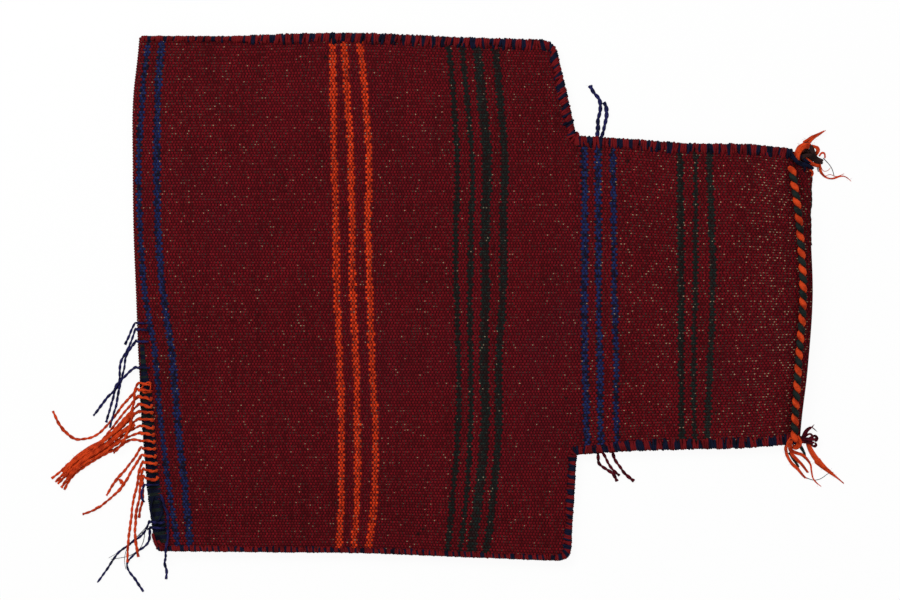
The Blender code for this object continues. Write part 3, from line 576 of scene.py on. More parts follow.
def stripe_masks(graph, u, y, stripes, half_width):
    """Where each colour's stripes lie, from their tracks in the photograph."""
    masks = {}
    across = 0.5 - y / (2 * half_width)
    for colour, width, track in stripes:
        middle = sum(track) / len(track)
        heights = [0.5 + (place - middle) / TRACK_RANGE for place in track]
        stray = (graph.curve(across, heights) - 0.5) * (TRACK_RANGE * PIXEL)
        start = (middle - ORIGIN_ACROSS) * PIXEL
        inside = abs(u - stray - start) < width * PIXEL / 2
        masks[colour] = inside + masks[colour] if colour in masks else inside
    return masks


def kilim_material(context):
    """Weft-faced wool: staggered floats of weft in ribs, striped, worn and dusty with pale warp, with
    painted shade in its grooves.
    """
    sizes = context.scene.kilim_cloth
    wool = context.scene.kilim_colours
    material, graph = new_material("striped_kilim")
    u, v, _ = graph.split(graph.node("ShaderNodeUVMap", {"uv_map": "weave"}))
    place = graph.node("ShaderNodeTexCoord", None, None, "Object")
    x, y, _ = graph.split(place)

    # Which rib and which float of weft a point is in, and how far it is from the float's middle
    waver = graph.noise(graph.vector(u, v * 0.3), scale=55.0) - 0.5
    quiver = graph.noise(graph.vector(u, v), scale=190.0, detail=1.0) - 0.5
    ribs = v / sizes.rib_pitch
    rib = ribs.floor()
    across = ribs - rib - 0.5
    stagger = (rib % 2.0) * 0.5 + graph.chance(rib, 8.5, 2.0) * 0.26
    beyond = (u - sizes.body_length / 2).larger(0.0)
    looser = 1.0 - sizes.bead / sizes.neck_bead
    beads = (u + waver * 0.0016 + quiver * 0.0012 - beyond * looser) / sizes.bead + stagger
    bead = beads.floor()
    along = beads - bead - 0.5
    middle_u = (bead + 0.5 - stagger) * sizes.bead + beyond * looser
    crown = (1.0 - (abs(across) * 2.0) ** 2.4) * (1.0 - (abs(along) * 2.6).smaller(1.0) ** 2.0)

    # The tone of each float, of the pick and the row it lies in, and of the rib
    own = graph.chance(bead, rib)
    line = bead * 2.0 - rib % 2.0
    pick = graph.chance(line, (y * 14.0).floor())
    row = graph.chance(line, 0.5, 3.0)
    rib_tone = graph.chance(rib, 4.5, 1.0)
    drift = graph.noise(graph.vector(u, y * 0.28), scale=42.0, detail=3.0, roughness=0.65)
    cloud = graph.noise(place, scale=9.0, detail=3.0, roughness=0.6)
    tone = 0.5 + 0.62 * own + 0.16 * row + 0.14 * pick + 0.16 * rib_tone + (drift - 0.5) * 0.7
    tone = tone + (cloud - 0.5) * 0.4
    ground = graph.scaled(graph.vector(*wool.madder), tone.larger(0.2))
    colour = graph.mix(cloud.ramp(0.5, 0.75) * 0.4, ground, PURPLE)

    body = stripe_masks(graph, middle_u, y, BODY_STRIPES, sizes.body_width / 2)
    neck = stripe_masks(graph, middle_u, y, NECK_STRIPES, sizes.neck_root / 2)
    for name, paint, dull in (
        ("navy", wool.navy, wool.dark_navy),
        ("orange", wool.orange, DULL_ORANGE),
        ("charcoal", wool.charcoal, DULL_CHARCOAL),
    ):
        inside = body[name] + neck[name] if name in neck else body[name]
        strand = graph.mix(own.ramp(0.4, 0.95), paint, dull)
        colour = graph.mix(inside, colour, graph.scaled(strand, 0.6 + 0.4 * row + 0.3 * own))

    # Bare warp between the floats, more of it where the cloth is worn, and painted shade in the grooves
    # round each float
    in_neck = x.ramp(0.15, 0.24)
    near_lip = x.ramp(0.28, 0.368)
    shoulder, corner = [
        graph.near(x - at_x, y - at_y, inner, outer)
        for at_x, at_y, inner, outer in (WORN_SHOULDER, WORN_CORNER)
    ]
    patches = graph.noise(place, scale=26.0, detail=3.0, roughness=0.7).ramp(0.48, 0.72)
    worn = 0.25 + in_neck * 0.15 + near_lip * 0.26 + shoulder * 0.12 + corner * 0.14 + patches * 0.12
    end = (beads + 0.5).floor()
    fleck_tone = graph.chance(end, rib, 9.0)
    reach = (0.5 - abs(along)) ** 2.0 * 1.3 + (across * across) * 1.1
    bare = (graph.chance(end, rib, 7.0) < worn) * (reach < 0.026 + fleck_tone * 0.028)
    pale = fleck_tone.ramp(0.78 - 0.12 * in_neck - 0.34 * near_lip, 1.1)
    # Painted shade: the grooves round each float are darkened towards the groove colour
    groove = (1.0 - crown.ramp(0.0, 0.5)) * (0.7 + 0.26 * own)
    colour = graph.mix(groove, colour, wool.painted_groove_shade)
    colour = graph.mix(bare, colour, graph.mix(pale, SHADED_WARP, wool.warp))
    for across_px, down_px, wide_px in SPOTS:
        off_x = x - (across_px - ORIGIN_ACROSS) * PIXEL
        off_y = y - (ORIGIN_DOWN - down_px) * PIXEL
        spot = graph.near(off_x, off_y, 0.2 * wide_px * PIXEL, wide_px * PIXEL)
        colour = graph.mix(spot * 0.85, colour, STAIN)

    fibres = graph.noise(graph.vector(u, v * 4.0), scale=2600.0)
    normal = graph.bump(crown * 0.8 + fibres * 0.25, strength=0.8, distance=0.0006)
    put_shader(graph, colour, 0.82 + 0.12 * own, normal)
    return material


def yarn_material(name, paint, dark):
    """Plied wool: two grooves that wind round the yarn and fibres that follow it."""
    material, graph = new_material(name)
    along, turn = [
        graph.node("ShaderNodeAttribute", {"attribute_name": label}, None, "Fac")
        for label in ("along", "turn")
    ]
    wind = turn + along * WINDS_PER_METRE
    groove = (wind * (math.tau * 2.0)).sine()
    fine = graph.vector(wind * 9.0, along * 260.0, turn * 2.0)
    fibres = graph.noise(fine, scale=2.2, detail=3.0, roughness=0.6)
    patch = graph.noise(graph.node("ShaderNodeTexCoord", None, None, "Object"), scale=170.0)
    # The tone is a little darker in the winding grooves: painted shade
    tone = 0.55 + 0.6 * fibres + 0.35 * patch + 0.06 * groove
    base = graph.mix(0.25 + 0.75 * patch.ramp(0.34, 0.56), dark, paint)
    normal = graph.bump(groove * 0.2 + fibres, strength=0.6, distance=0.0004)
    put_shader(graph, graph.scaled(base, tone), 0.88, normal)
    return material


def wool_materials(context):
    """Every yarn's material, made once."""
    wool = context.scene.kilim_colours
    made = {
        "red_yarn": (wool.red, (0.07, 0.004, 0.006)),
        "deep_red_yarn": (DEEP_RED, (0.018, 0.003, 0.005)),
        "dark_navy_yarn": (wool.dark_navy, (0.003, 0.0035, 0.008)),
        "ink_yarn": (INK, (0.005, 0.006, 0.018)),
        "orange_yarn": (wool.orange_yarn, (0.3, 0.02, 0.006)),
        "charcoal_yarn": (wool.charcoal, (0.006, 0.0075, 0.007)),
        "brown_yarn": (BROWN, (0.009, 0.006, 0.0065)),
    }
    for name, (paint, dark) in made.items():
        if name not in bpy.data.materials:
            yarn_material(name, paint, dark)
    return {name: bpy.data.materials[name] for name in made}


def new_tree(name, inputs):
    """A geometry tree with a mesh in, a mesh out and the named inputs. Returns its graph and inputs."""
    tree = bpy.data.node_groups.new(name, "GeometryNodeTree")
    tree.interface.new_socket("Geometry", in_out="INPUT", socket_type="NodeSocketGeometry")
    tree.interface.new_socket("Geometry", in_out="OUTPUT", socket_type="NodeSocketGeometry")
    for label, kind in inputs.items():
        tree.interface.new_socket(label, in_out="INPUT", socket_type=kind)
    graph = Graph(tree)
    source = tree.nodes.new("NodeGroupInput")
    return graph, {socket.name: Value(graph, socket) for socket in source.outputs if socket.name}


def end_tree(graph, geometry):
    graph.node("NodeGroupOutput", None, {"Geometry": geometry})
    return graph.tree


FLOAT = "NodeSocketFloat"
WHOLE = "NodeSocketInt"
STUFF = "NodeSocketMaterial"
THING = "NodeSocketObject"


def rib_tree():
    """Raises the weave's ribs on the cloth's outer faces."""
    graph, given = new_tree("Weave ribs", {"Rib Height": FLOAT, "Material": STUFF})
    profile = 1.0 - ((graph.named("rib_place") % 1.0 - 0.5) * 2.0) ** 2.0
    height = (profile + graph.named("rib_base")) * graph.named("rib_share") * given["Rib Height"]
    offset = graph.scaled(graph.node("GeometryNodeInputNormal"), height)
    moved = graph.node("GeometryNodeSetPosition", None, {"Geometry": given["Geometry"], "Offset": offset})
    return end_tree(graph, graph.dyed(graph.shade_smooth(moved), given["Material"]))


def thread(graph, curve, radius, sides, scale=None):
    """A tube along a curve that remembers the length along it and the turn round it."""
    length = graph.node("GeometryNodeSplineParameter", None, None, "Length")
    factor = graph.node("GeometryNodeSplineParameter", None, None, "Factor")
    values = {"Resolution": sides, "Radius": radius}
    circle = graph.node("GeometryNodeCurvePrimitiveCircle", {"mode": "RADIUS"}, values)
    values = {
        "Curve": graph.store(curve, "along", length), "Profile Curve": graph.store(circle, "turn", factor),
        "Fill Caps": True, "Scale": scale,
    }
    return graph.node("GeometryNodeCurveToMesh", None, values)


def plied_tree():
    """Winds plies round each guide line, as thick as the line's own thickness attribute says. Bulge
    makes a ply thicker where it lies on top of the cord and thinner underneath."""
    graph, given = new_tree("Plied yarn", {
        "Plies": WHOLE, "Ply Size": FLOAT, "Orbit": FLOAT, "Twist Length": FLOAT, "Step": FLOAT,
        "Sides": WHOLE, "Slimmer": FLOAT, "Bulge": FLOAT, "Material": STUFF, "Second Material": STUFF,
    })
    values = {"Geometry": graph.even_curve(given["Geometry"], given["Step"]), "Amount": given["Plies"]}
    copies = graph.node("GeometryNodeDuplicateElements", {"domain": "SPLINE"}, values)
    which = Value(graph, copies.socket.node.outputs["Duplicate Index"])
    copies = graph.store(copies, "ply", which, "INT")
    ply = graph.named("ply", "INT")
    thick = graph.named("thickness")
    length = graph.node("GeometryNodeSplineParameter", None, None, "Length")
    phase = (ply / given["Plies"] + length / given["Twist Length"]) * math.tau
    normal = graph.node("GeometryNodeInputNormal")
    side = graph.combine("CROSS_PRODUCT", normal, graph.node("GeometryNodeInputTangent"))
    reach = thick * given["Orbit"]
    out = graph.scaled(normal, phase.cosine() * reach)
    offset = graph.combine("ADD", out, graph.scaled(side, phase.sine() * reach))
    # The height of a ply over the cord's middle is kept before the ply is moved there
    _, _, height = graph.split(offset)
    copies = graph.store(copies, "rise", height / reach)
    wound = graph.node("GeometryNodeSetPosition", None, {"Geometry": copies, "Offset": offset})
    slim = (1.0 - given["Slimmer"] * (ply > 0.5)) * (1.0 + given["Bulge"] * graph.named("rise"))
    tube = thread(graph, wound, 1.0, given["Sides"], thick * given["Ply Size"] * slim)
    real = graph.realized(graph.shade_smooth(tube))
    first = graph.dyed(real, given["Material"])
    return end_tree(graph, graph.dyed(first, given["Second Material"], ply > 0.5))


def stitch_tree():
    """Places strands of yarn over an edge, a few of one colour and then a few of the other."""
    graph, given = new_tree("Overcast stitches", {
        "Stitch": THING, "Spacing": FLOAT, "Yarn Radius": FLOAT, "Unevenness": FLOAT, "Lean": FLOAT,
        "Seed": WHOLE, "Material": STUFF, "Second Material": STUFF,
    })
    even = graph.even_curve(given["Geometry"], given["Spacing"])
    settings = {"transform_space": "ORIGINAL"}
    shape = graph.node("GeometryNodeObjectInfo", settings, {"Object": given["Stitch"]}, "Geometry")
    path = graph.node("GeometryNodeMeshToCurve", None, {"Mesh": shape})
    strand = graph.shade_smooth(thread(graph, path, given["Yarn Radius"], YARN_SIDES))
    values = {"Vector": graph.node("GeometryNodeInputTangent")}
    facing = graph.node("FunctionNodeAlignRotationToVector", {"axis": "X", "pivot_axis": "Z"}, values)
    index = graph.node("GeometryNodeInputIndex")
    seed = given["Seed"]
    lean = graph.random(given["Lean"] * -1.0, given["Lean"], seed, index)
    rotation = graph.turned(facing, graph.vector(0.0, 0.0, lean + graph.named("lean")))
    uneven = given["Unevenness"]
    stretch = graph.random(1.0 - uneven, 1.0 + uneven, seed + STRETCH_SEED, index)
    scale = graph.vector(1.0, stretch * graph.named("thickness"), 1.0)
    repeat = (graph.named("repeat") + 0.5).floor()
    slip = graph.random(0, 1, seed, (index / repeat).floor(), "INT")
    other = (index + slip) % repeat > graph.named("navy") - 0.5
    rows = []
    for material, chosen in (("Material", 1.0 - other), ("Second Material", other)):
        values = {
            "Points": even, "Selection": chosen, "Instance": graph.dyed(strand, given[material]),
            "Rotation": rotation, "Scale": scale,
        }
        rows.append(graph.node("GeometryNodeInstanceOnPoints", None, values))
    joined = graph.node("GeometryNodeJoinGeometry", None, {"Geometry": rows})
    return end_tree(graph, graph.realized(joined))


def fibre_tree():
    """Adds stray bent fibres to a piece of yarn."""
    graph, given = new_tree("Stray fibres", {
        "Density": FLOAT, "Length": FLOAT, "Fibre Radius": FLOAT, "Seed": WHOLE, "Material": STUFF,
    })
    seed = given["Seed"]
    values = {"Mesh": given["Geometry"], "Density": given["Density"], "Seed": seed}
    settings = {"distribute_method": "RANDOM"}
    points = graph.node("GeometryNodeDistributePointsOnFaces", settings, values)
    facing = Value(graph, points.socket.node.outputs["Rotation"])
    bend = graph.node("GeometryNodeCurveQuadraticBezier", None, {"Resolution": 3, **FIBRE_BEND})
    hair = thread(graph, bend, given["Fibre Radius"], 3)
    low = (-FIBRE_TUMBLE, -FIBRE_TUMBLE, 0.0)
    high = (FIBRE_TUMBLE, FIBRE_TUMBLE, math.tau)
    tumble = graph.random(low, high, seed, kind="FLOAT_VECTOR")
    length = given["Length"]
    long = graph.random(length * FIBRE_SHORTEST, length * FIBRE_LONGEST, seed + LENGTH_SEED)
    values = {
        "Points": points, "Instance": hair, "Rotation": graph.turned(facing, tumble),
        "Scale": graph.vector(long, long, long),
    }
    hairs = graph.realized(graph.node("GeometryNodeInstanceOnPoints", None, values))
    both = [graph.dyed(hairs, given["Material"]), given["Geometry"]]
    return end_tree(graph, graph.node("GeometryNodeJoinGeometry", None, {"Geometry": both}))


TREES = {
    "Weave ribs": rib_tree,
    "Plied yarn": plied_tree,
    "Overcast stitches": stitch_tree,
    "Stray fibres": fibre_tree,
}


def add_nodes(obj, name, **inputs):
    """Adds a geometry tree to an object as a modifier and sets its inputs by their identifiers."""
    tree = bpy.data.node_groups.get(name) or TREES[name]()
    modifier = obj.modifiers.new(name, "NODES")
    modifier.node_group = tree
    for item in tree.interface.items_tree:
        label = item.name.lower().replace(" ", "_")
        if item.item_type == "SOCKET" and item.in_out == "INPUT" and label in inputs:
            modifier[item.identifier] = inputs.pop(label)
    if inputs:
        raise RuntimeError(f"{name} has no input {', '.join(inputs)}")


def plain_mesh(obj):
    """Applies an object's modifiers, so that a plain mesh is left."""
    bpy.context.view_layer.update()
    graph = bpy.context.evaluated_depsgraph_get()
    mesh = bpy.data.meshes.new_from_object(obj.evaluated_get(graph), depsgraph=graph)
    mesh.name = obj.name
    old = obj.data
    obj.modifiers.clear()
    obj.data = mesh
    bpy.data.meshes.remove(old)


def put_object(name, data, place=(0.0, 0.0, 0.0)):
    obj = bpy.data.objects.new(name, data)
    obj.location = place
    bpy.context.scene.collection.objects.link(obj)
    return obj


def new_object(name, points, edges=(), faces=()):
    mesh = bpy.data.meshes.new(name)
    mesh.from_pydata(points, edges, faces)
    return put_object(name, mesh)


def place_piece(obj, slot, *nodes):
    """Puts a finished piece on the bag in place of its plain solids."""
    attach(obj, BODY)
    if nodes:
        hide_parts(*nodes)


def bag_shape(context):
    return BagShape(context.scene.kilim_cloth, context.scene.kilim_yarn.seam_lift)


class ClothMesh:
    """Collects the cloth's vertices, with their place in the weave, and its faces."""

    def __init__(self, shape):
        self.shape = shape
        self.points = []
        self.weave = []
        self.rib = []
        self.faces = []

    def add(self, x, y, z, u, rib, base, amount):
        self.points.append((x, y, z))
        self.weave.append((u, rib * self.shape.s.rib_pitch))
        self.rib.append((rib, base, amount))
        return len(self.points) - 1

    def panel(self, rows, height, back, base, amount):
        """One surface of a panel, with its ribs raised by an amount over a base. Returns the vertices
        along its base fold and along each of its open edges."""
        body = []
        neck = []
        mouthward = [1 + column for column in NECK_COLUMNS[1:]]
        for row, rib in rows:
            line = []
            for column in BODY_COLUMNS:
                x, y = self.shape.plan(row, column, back)
                line.append(self.add(x, y, height(x, y), x, rib, base, amount))
            body.append(line)
            if 1 <= row <= 2:
                line = line[-1:]
                for column in mouthward:
                    x, y = self.shape.plan(row, column, back)
                    line.append(self.add(x, y, height(x, y), x, rib, base, amount))
                neck.append(line)
        for grid in (body, neck):
            for near, far in zip(grid, grid[1:]):
                for j in range(len(near) - 1):
                    self.faces.append((near[j], near[j + 1], far[j + 1], far[j]))
        first = next(i for i, (row, _) in enumerate(rows) if row >= 1)
        last = first + len(neck) - 1
        edges = [
            body[0],
            body[-1],
            [line[-1] for line in body[: first + 1]],
            [line[-1] for line in body[last:]],
            neck[0],
            neck[-1],
            [line[-1] for line in neck],
        ]
        return [line[0] for line in body], edges

    def fold_line(self, rows, radius, angle, base, amount):
        """Vertices along the base fold, at an angle round it from the front panel."""
        line = []
        for row, rib in rows:
            _, y = self.shape.plan(row, 0.0)
            x, middle = self.shape.fold_middle(y)
            half = self.shape.gap(x, y) / 2 + radius
            u = x - self.shape.fold_radius * min(angle, math.pi - angle)
            out = x - half * math.sin(angle)
            line.append(self.add(out, y, middle + half * math.cos(angle), u, rib, base, amount))
        return line

    def bridge(self, a, b):
        for i in range(len(a) - 1):
            self.faces.append((a[i], a[i + 1], b[i + 1], b[i]))

    def join(self, a, b):
        """A strip of triangles between two rows of vertices of any counts."""
        along = []
        for line in (a, b):
            reached = [0.0]
            for near, far in zip(line, line[1:]):
                reached.append(reached[-1] + math.dist(self.points[near], self.points[far]))
            along.append([length / reached[-1] for length in reached])
        i = 0
        j = 0
        while i < len(a) - 1 or j < len(b) - 1:
            if j == len(b) - 1 or (i < len(a) - 1 and along[0][i + 1] <= along[1][j + 1]):
                self.faces.append((a[i], a[i + 1], b[j]))
                i += 1
            else:
                self.faces.append((a[i], b[j + 1], b[j]))
                j += 1


def weave_rows(shape, samples):
    """Rows of the grid, each with its place counted in ribs from the bag's right side."""
    flank = round((shape.s.body_width - shape.s.neck_root) / 2 / shape.s.rib_pitch)
    neck = round(shape.s.neck_root / shape.s.rib_pitch)
    rows = []
    start = 0
    for band, ribs in enumerate((flank, neck, flank)):
        steps = max(round(ribs * samples), 2)
        for i in range(steps):
            rows.append((band + i / steps, start + ribs * i / steps))
        start += ribs
    return rows + [(3.0, float(start))]


class KILIM_OT_cloth(bpy.types.Operator):
    """Weave the front panel, the base fold and the back panel as one ribbed cloth"""

    bl_idname = "kilim.cloth"
    bl_label = "Woven cloth"

    def execute(self, context):
        shape = bag_shape(context)
        fine = weave_rows(shape, RIB_SAMPLES)
        plain = weave_rows(shape, LINING_SAMPLES)
        cloth = ClothMesh(shape)
        front, front_edges = cloth.panel(fine, shape.front_z, back=False, base=0.0, amount=1.0)
        back, back_edges = cloth.panel(fine, shape.lift, back=True, base=-1.0, amount=1.0)
        inner, inner_edges = cloth.panel(
            plain, lambda x, y: shape.front_z(x, y) - shape.s.wall, back=False, base=0.0, amount=0.0
        )
        floor, floor_edges = cloth.panel(
            plain, lambda x, y: shape.lift(x, y) + shape.s.wall, back=True, base=0.0, amount=0.0
        )
        outside = [front]
        for step in range(1, FOLD_STEPS):
            angle = math.pi * step / FOLD_STEPS
            base = -smooth(step / FOLD_STEPS)
            outside.append(cloth.fold_line(fine, shape.s.wall, angle, base, 1.0))
        outside.append(back)
        inside = [inner, cloth.fold_line(plain, 0.0, math.pi / 2, 0.0, 0.0), floor]
        for lines in (outside, inside):
            for a, b in zip(lines, lines[1:]):
                cloth.bridge(a, b)
        for end in (0, -1):
            cloth.join([line[end] for line in outside], [line[end] for line in inside])
        for outer, lining in ((front_edges, inner_edges), (back_edges, floor_edges)):
            for a, b in zip(outer, lining):
                cloth.join(a, b)
        obj = new_object("kilim_cloth", cloth.points, (), cloth.faces)
        mesh = obj.data
        shared = bmesh.new()
        shared.from_mesh(mesh)
        bmesh.ops.recalc_face_normals(shared, faces=shared.faces)
        shared.to_mesh(mesh)
        shared.free()
        corners = np.empty(len(mesh.loops), np.int32)
        mesh.loops.foreach_get("vertex_index", corners)
        places = np.array(cloth.weave, np.float32)[corners]
        mesh.uv_layers.new(name="weave").data.foreach_set("uv", places.ravel())
        for name, values in zip(("rib_place", "rib_base", "rib_share"), zip(*cloth.rib)):
            mesh.attributes.new(name, "FLOAT", "POINT").data.foreach_set("value", values)
        add_nodes(obj, "Weave ribs", rib_height=shape.s.rib_height, material=kilim_material(context))
        plain_mesh(obj)
        place_piece(obj, "striped_kilim", "woven_cloth")
        return {"FINISHED"}


def seam_points(shape, side):
    """The stitched edge in plan, from the base fold round the shoulder to the mouth."""
    outer_row, inner_row = (3.0, 2.0) if side == LEFT else (0.0, 1.0)
    points = [shape.plan(outer_row, column) for column in BODY_COLUMNS]
    for i in range(1, SHOULDER_STEPS + 1):
        points.append(shape.plan(lerp(outer_row, inner_row, i / SHOULDER_STEPS), 1.0))
    return points + [shape.plan(inner_row, 1 + column) for column in NECK_COLUMNS[1:]]


def path_object(name, points):
    return new_object(name, points, [(i, i + 1) for i in range(len(points) - 1)])


def stitch_path(yarn, side, high):
    """Half a turn of yarn round an edge: in over the front at the given height and in under the back.
    A point is its place along the edge, its place across it and its height."""
    slant = yarn.stitch_slant
    radius = low = yarn.stitch_yarn / 2
    out = (STITCH_CLEAR + radius) * side
    tip = -yarn.stitch_reach * side
    turn = radius * 1.6
    return path_object("stitch", [
        (-slant * 1.4, tip * 1.1, high - radius * 2.2),
        (-slant * 1.2, tip, high - radius * 0.4),
        (-slant, lerp(tip, out, 0.25), high + radius * 0.1),
        (-slant * 0.6, lerp(tip, out, 0.6), high + radius * 0.1),
        (-slant * 0.3, out - turn * side, high),
        (-slant * 0.1, out - turn * 0.3 * side, high - turn * 0.35),
        (0.0, out, high - turn),
        (0.0, out, (low + high) / 2),
        (0.0, out, low + turn),
        (slant * 0.1, out - turn * 0.3 * side, low + turn * 0.3),
        (slant * 0.3, out - turn * side, low),
        (slant, lerp(tip, out, 0.3), low),
        (slant, tip, low + radius * 0.4),
    ])


# Stretches of each seam: where it ends, the stitches' reach as a share of the longest, how many strands
# make a repeat, how many of them are navy and how far they lean, in radians
SEAM_STRETCHES = {
    LEFT: (
        (-0.09, 0.56, 4.0, 1.0, 0.0), (0.15, 1.0, 5.0, 2.0, 0.0), (0.18, 1.0, 5.0, 2.0, 0.55),
        (1.0, 1.0, 5.0, 2.0, 0.15),
    ),
    RIGHT: ((0.155, 0.54, 3.0, 1.0, 0.0), (0.19, 0.75, 4.0, 2.0, -0.3), (1.0, 1.0, 6.0, 3.0, 0.0)),
}
# The way over which the reach changes from one stretch to the next
STRETCH_BLEND = 0.02
# Room between the stitches and the cloth's edge
STITCH_CLEAR = 0.0003


def seam_marks(side, x):
    """The stitches' reach, their repeat, the navy strands in it and their lean at a place along a seam."""
    stretches = SEAM_STRETCHES[side]
    which = next(i for i, stretch in enumerate(stretches) if x <= stretch[0])
    _, reach, repeat, navy, lean = stretches[which]
    if which:
        before = stretches[which - 1]
        reach = lerp(before[1], reach, smooth((x - before[0]) / STRETCH_BLEND))
    return reach, repeat, navy, lean


def thick_lines(name, lines, **marks):
    """Guide lines as loose edges, each point with the yarn's thickness there and the marks given."""
    points = []
    edges = []
    thickness = []
    for line in lines:
        start = len(points)
        points += [tuple(point) for point, _ in line]
        thickness += [thick for _, thick in line]
        edges += [(start + i, start + i + 1) for i in range(len(line) - 1)]
    obj = new_object(name, points, edges)
    for label, values in {"thickness": thickness, **marks}.items():
        obj.data.attributes.new(label, "FLOAT", "POINT").data.foreach_set("value", values)
    return obj


class KILIM_OT_side_seams(bpy.types.Operator):
    """Overcast both side edges with red and navy yarn"""

    bl_idname = "kilim.side_seams"
    bl_label = "Overcast edges"

    def execute(self, context):
        shape = bag_shape(context)
        yarn = context.scene.kilim_yarn
        wool = wool_materials(context)
        radius = yarn.stitch_yarn / 2
        for side, label in ((LEFT, "left"), (RIGHT, "right")):
            points = seam_points(shape, side)
            # The front's height beside its edge is read on the shoulder
            x, y = points[len(points) // 3]
            stitch = stitch_path(yarn, side, shape.front_z(x, y) + shape.s.rib_height + radius * 0.6)
            reaches, repeat, navy, lean = zip(*(seam_marks(side, x) for x, _ in points))
            line = [((x, y, 0.0), reach) for (x, y), reach in zip(points, reaches)]
            obj = thick_lines(f"{label}_overcasting", [line], repeat=repeat, navy=navy, lean=lean)
            add_nodes(
                obj, "Overcast stitches", stitch=stitch, spacing=yarn.stitch_spacing, yarn_radius=radius,
                unevenness=0.22, lean=0.3, seed=yarn.seed + side,
                material=wool["dark_navy_yarn"], second_material=wool["red_yarn"],
            )
            finish_yarn(context, obj, "seam", [f"{label}_side_seam"], density=3500.0, longer=0.8)
            bpy.data.objects.remove(stitch)
        return {"FINISHED"}


# The least angle between a plain strand's flat end and its side, and how near its doubles lie
END_ANGLE = math.radians(62)
DOUBLES = 1e-6


def strand_rings(node):
    """Centres and radii of the rings along a plain strand, from one flat end to the other."""
    shape = bmesh.new()
    shape.from_mesh(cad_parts[node].data)
    bmesh.ops.remove_doubles(shape, verts=shape.verts, dist=DOUBLES)
    shape.verts.index_update()
    sharp = {
        edge: len(edge.link_faces) == 2 and edge.calc_face_angle(0.0) > END_ANGLE
        for edge in shape.edges
    }
    ends = [face for face in shape.faces if sum(sharp[edge] for edge in face.edges) >= 2]
    caps = [
        set(face.verts) | set(other.verts)
        for face in ends
        for edge in face.edges
        if not sharp[edge]
        for other in edge.link_faces
        if other != face and other in ends
    ]
    ring = caps[0]
    seen = set(ring)
    rings = []
    while ring:
        # The order makes the sum the same in each run
        places = [vert.co for vert in sorted(ring, key=lambda vert: vert.index)]
        centre = sum(places, Vector()) / len(ring)
        radius = max((place - centre).length for place in places)
        rings.append((centre, radius))
        ring = {other for vert in ring for edge in vert.link_edges for other in edge.verts} - seen
        seen |= ring
    shape.free()
    return rings


# Hand-spun yarn: how often it bends and swells, how much it swells, the share of its length before it
# sways fully, and the least radius of a line
SWAY_LENGTH = 0.006
SWELL = 0.16
SWAY_START = 0.15
LEAST_RADIUS = 0.0001


def smooth_line(rings, step, dice=None, sway=0.0):
    """A smooth line through the rings, with a point at about every step, and its thickness. With dice
    it sways a little and its thickness varies, as hand-spun yarn does."""
    length = sum((b[0] - a[0]).length for a, b in zip(rings, rings[1:]))
    samples = max(int(length / step), 6)
    tracks = [[centre[axis] for centre, _ in rings] for axis in range(3)]
    radii = [radius for _, radius in rings]
    knots = max(round(length / SWAY_LENGTH), 4)
    strays = [[dice.uniform(-1, 1) if dice else 0.0 for _ in range(knots)] for _ in range(3)]
    line = []
    for i in range(samples + 1):
        place = i / samples
        ease = smooth(min(place / SWAY_START, 1.0))
        point = Vector([wander(track, place) for track in tracks])
        point.x += wander(strays[0], place) * sway * ease
        point.y += wander(strays[1], place) * sway * ease
        radius = max(wander(radii, place), LEAST_RADIUS) * (1 + SWELL * wander(strays[2], place))
        line.append((point, radius))
    return line


# How far back and down a strand's first point lies in the cloth, as shares of its radius
ROOT_BACK = 1.2
ROOT_DEPTH = 2.4


def rooted(rings):
    """The rings from the end in the cloth, with a first point sunk in it where the yarn comes out."""
    if rings[0][0].z < rings[-1][0].z:
        rings = rings[::-1]
    start, radius = rings[0]
    away = (start - rings[1][0]).normalized()
    sunk = start + away * radius * ROOT_BACK + Vector((0.0, 0.0, -radius * ROOT_DEPTH))
    return [(sunk, radius)] + rings


def nodes_named(*starts):
    return sorted(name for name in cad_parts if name.startswith(starts))


def finish_yarn(context, obj, kind, nodes, density, longer=1.0):
    """Adds stray fibres to a piece of yarn, makes it a plain mesh and puts it on the bag."""
    yarn = context.scene.kilim_yarn
    slot, material = YARNS[kind]
    add_nodes(
        obj, "Stray fibres", density=density, length=yarn.fibre_length * longer,
        fibre_radius=yarn.fibre / yarn.fibre_length / 2, seed=yarn.seed,
        material=wool_materials(context)[material],
    )
    plain_mesh(obj)
    place_piece(obj, slot, *nodes)


def ply_lines(context, obj, kind, **inputs):
    """Winds plies of one kind of yarn round the guide lines of an object."""
    material = wool_materials(context)[YARNS[kind][1]]
    add_nodes(
        obj, "Plied yarn", twist_length=context.scene.kilim_yarn.strand_twist, sides=YARN_SIDES,
        material=material, second_material=material, **inputs,
    )


# Steps along a loose strand, and how far it sways
STRAND_STEP = 0.0012
STRAND_SWAY = 0.0005
# A strand droops more and more over the first length, and from the second place on less again, over
# the third length
DROOP_RISE = 0.006
DROOP_TOP = 0.008
DROOP_FALL = 0.014
# The length of a strand's start that lies deeper, in the binding
SUNK_LENGTH = 0.0035


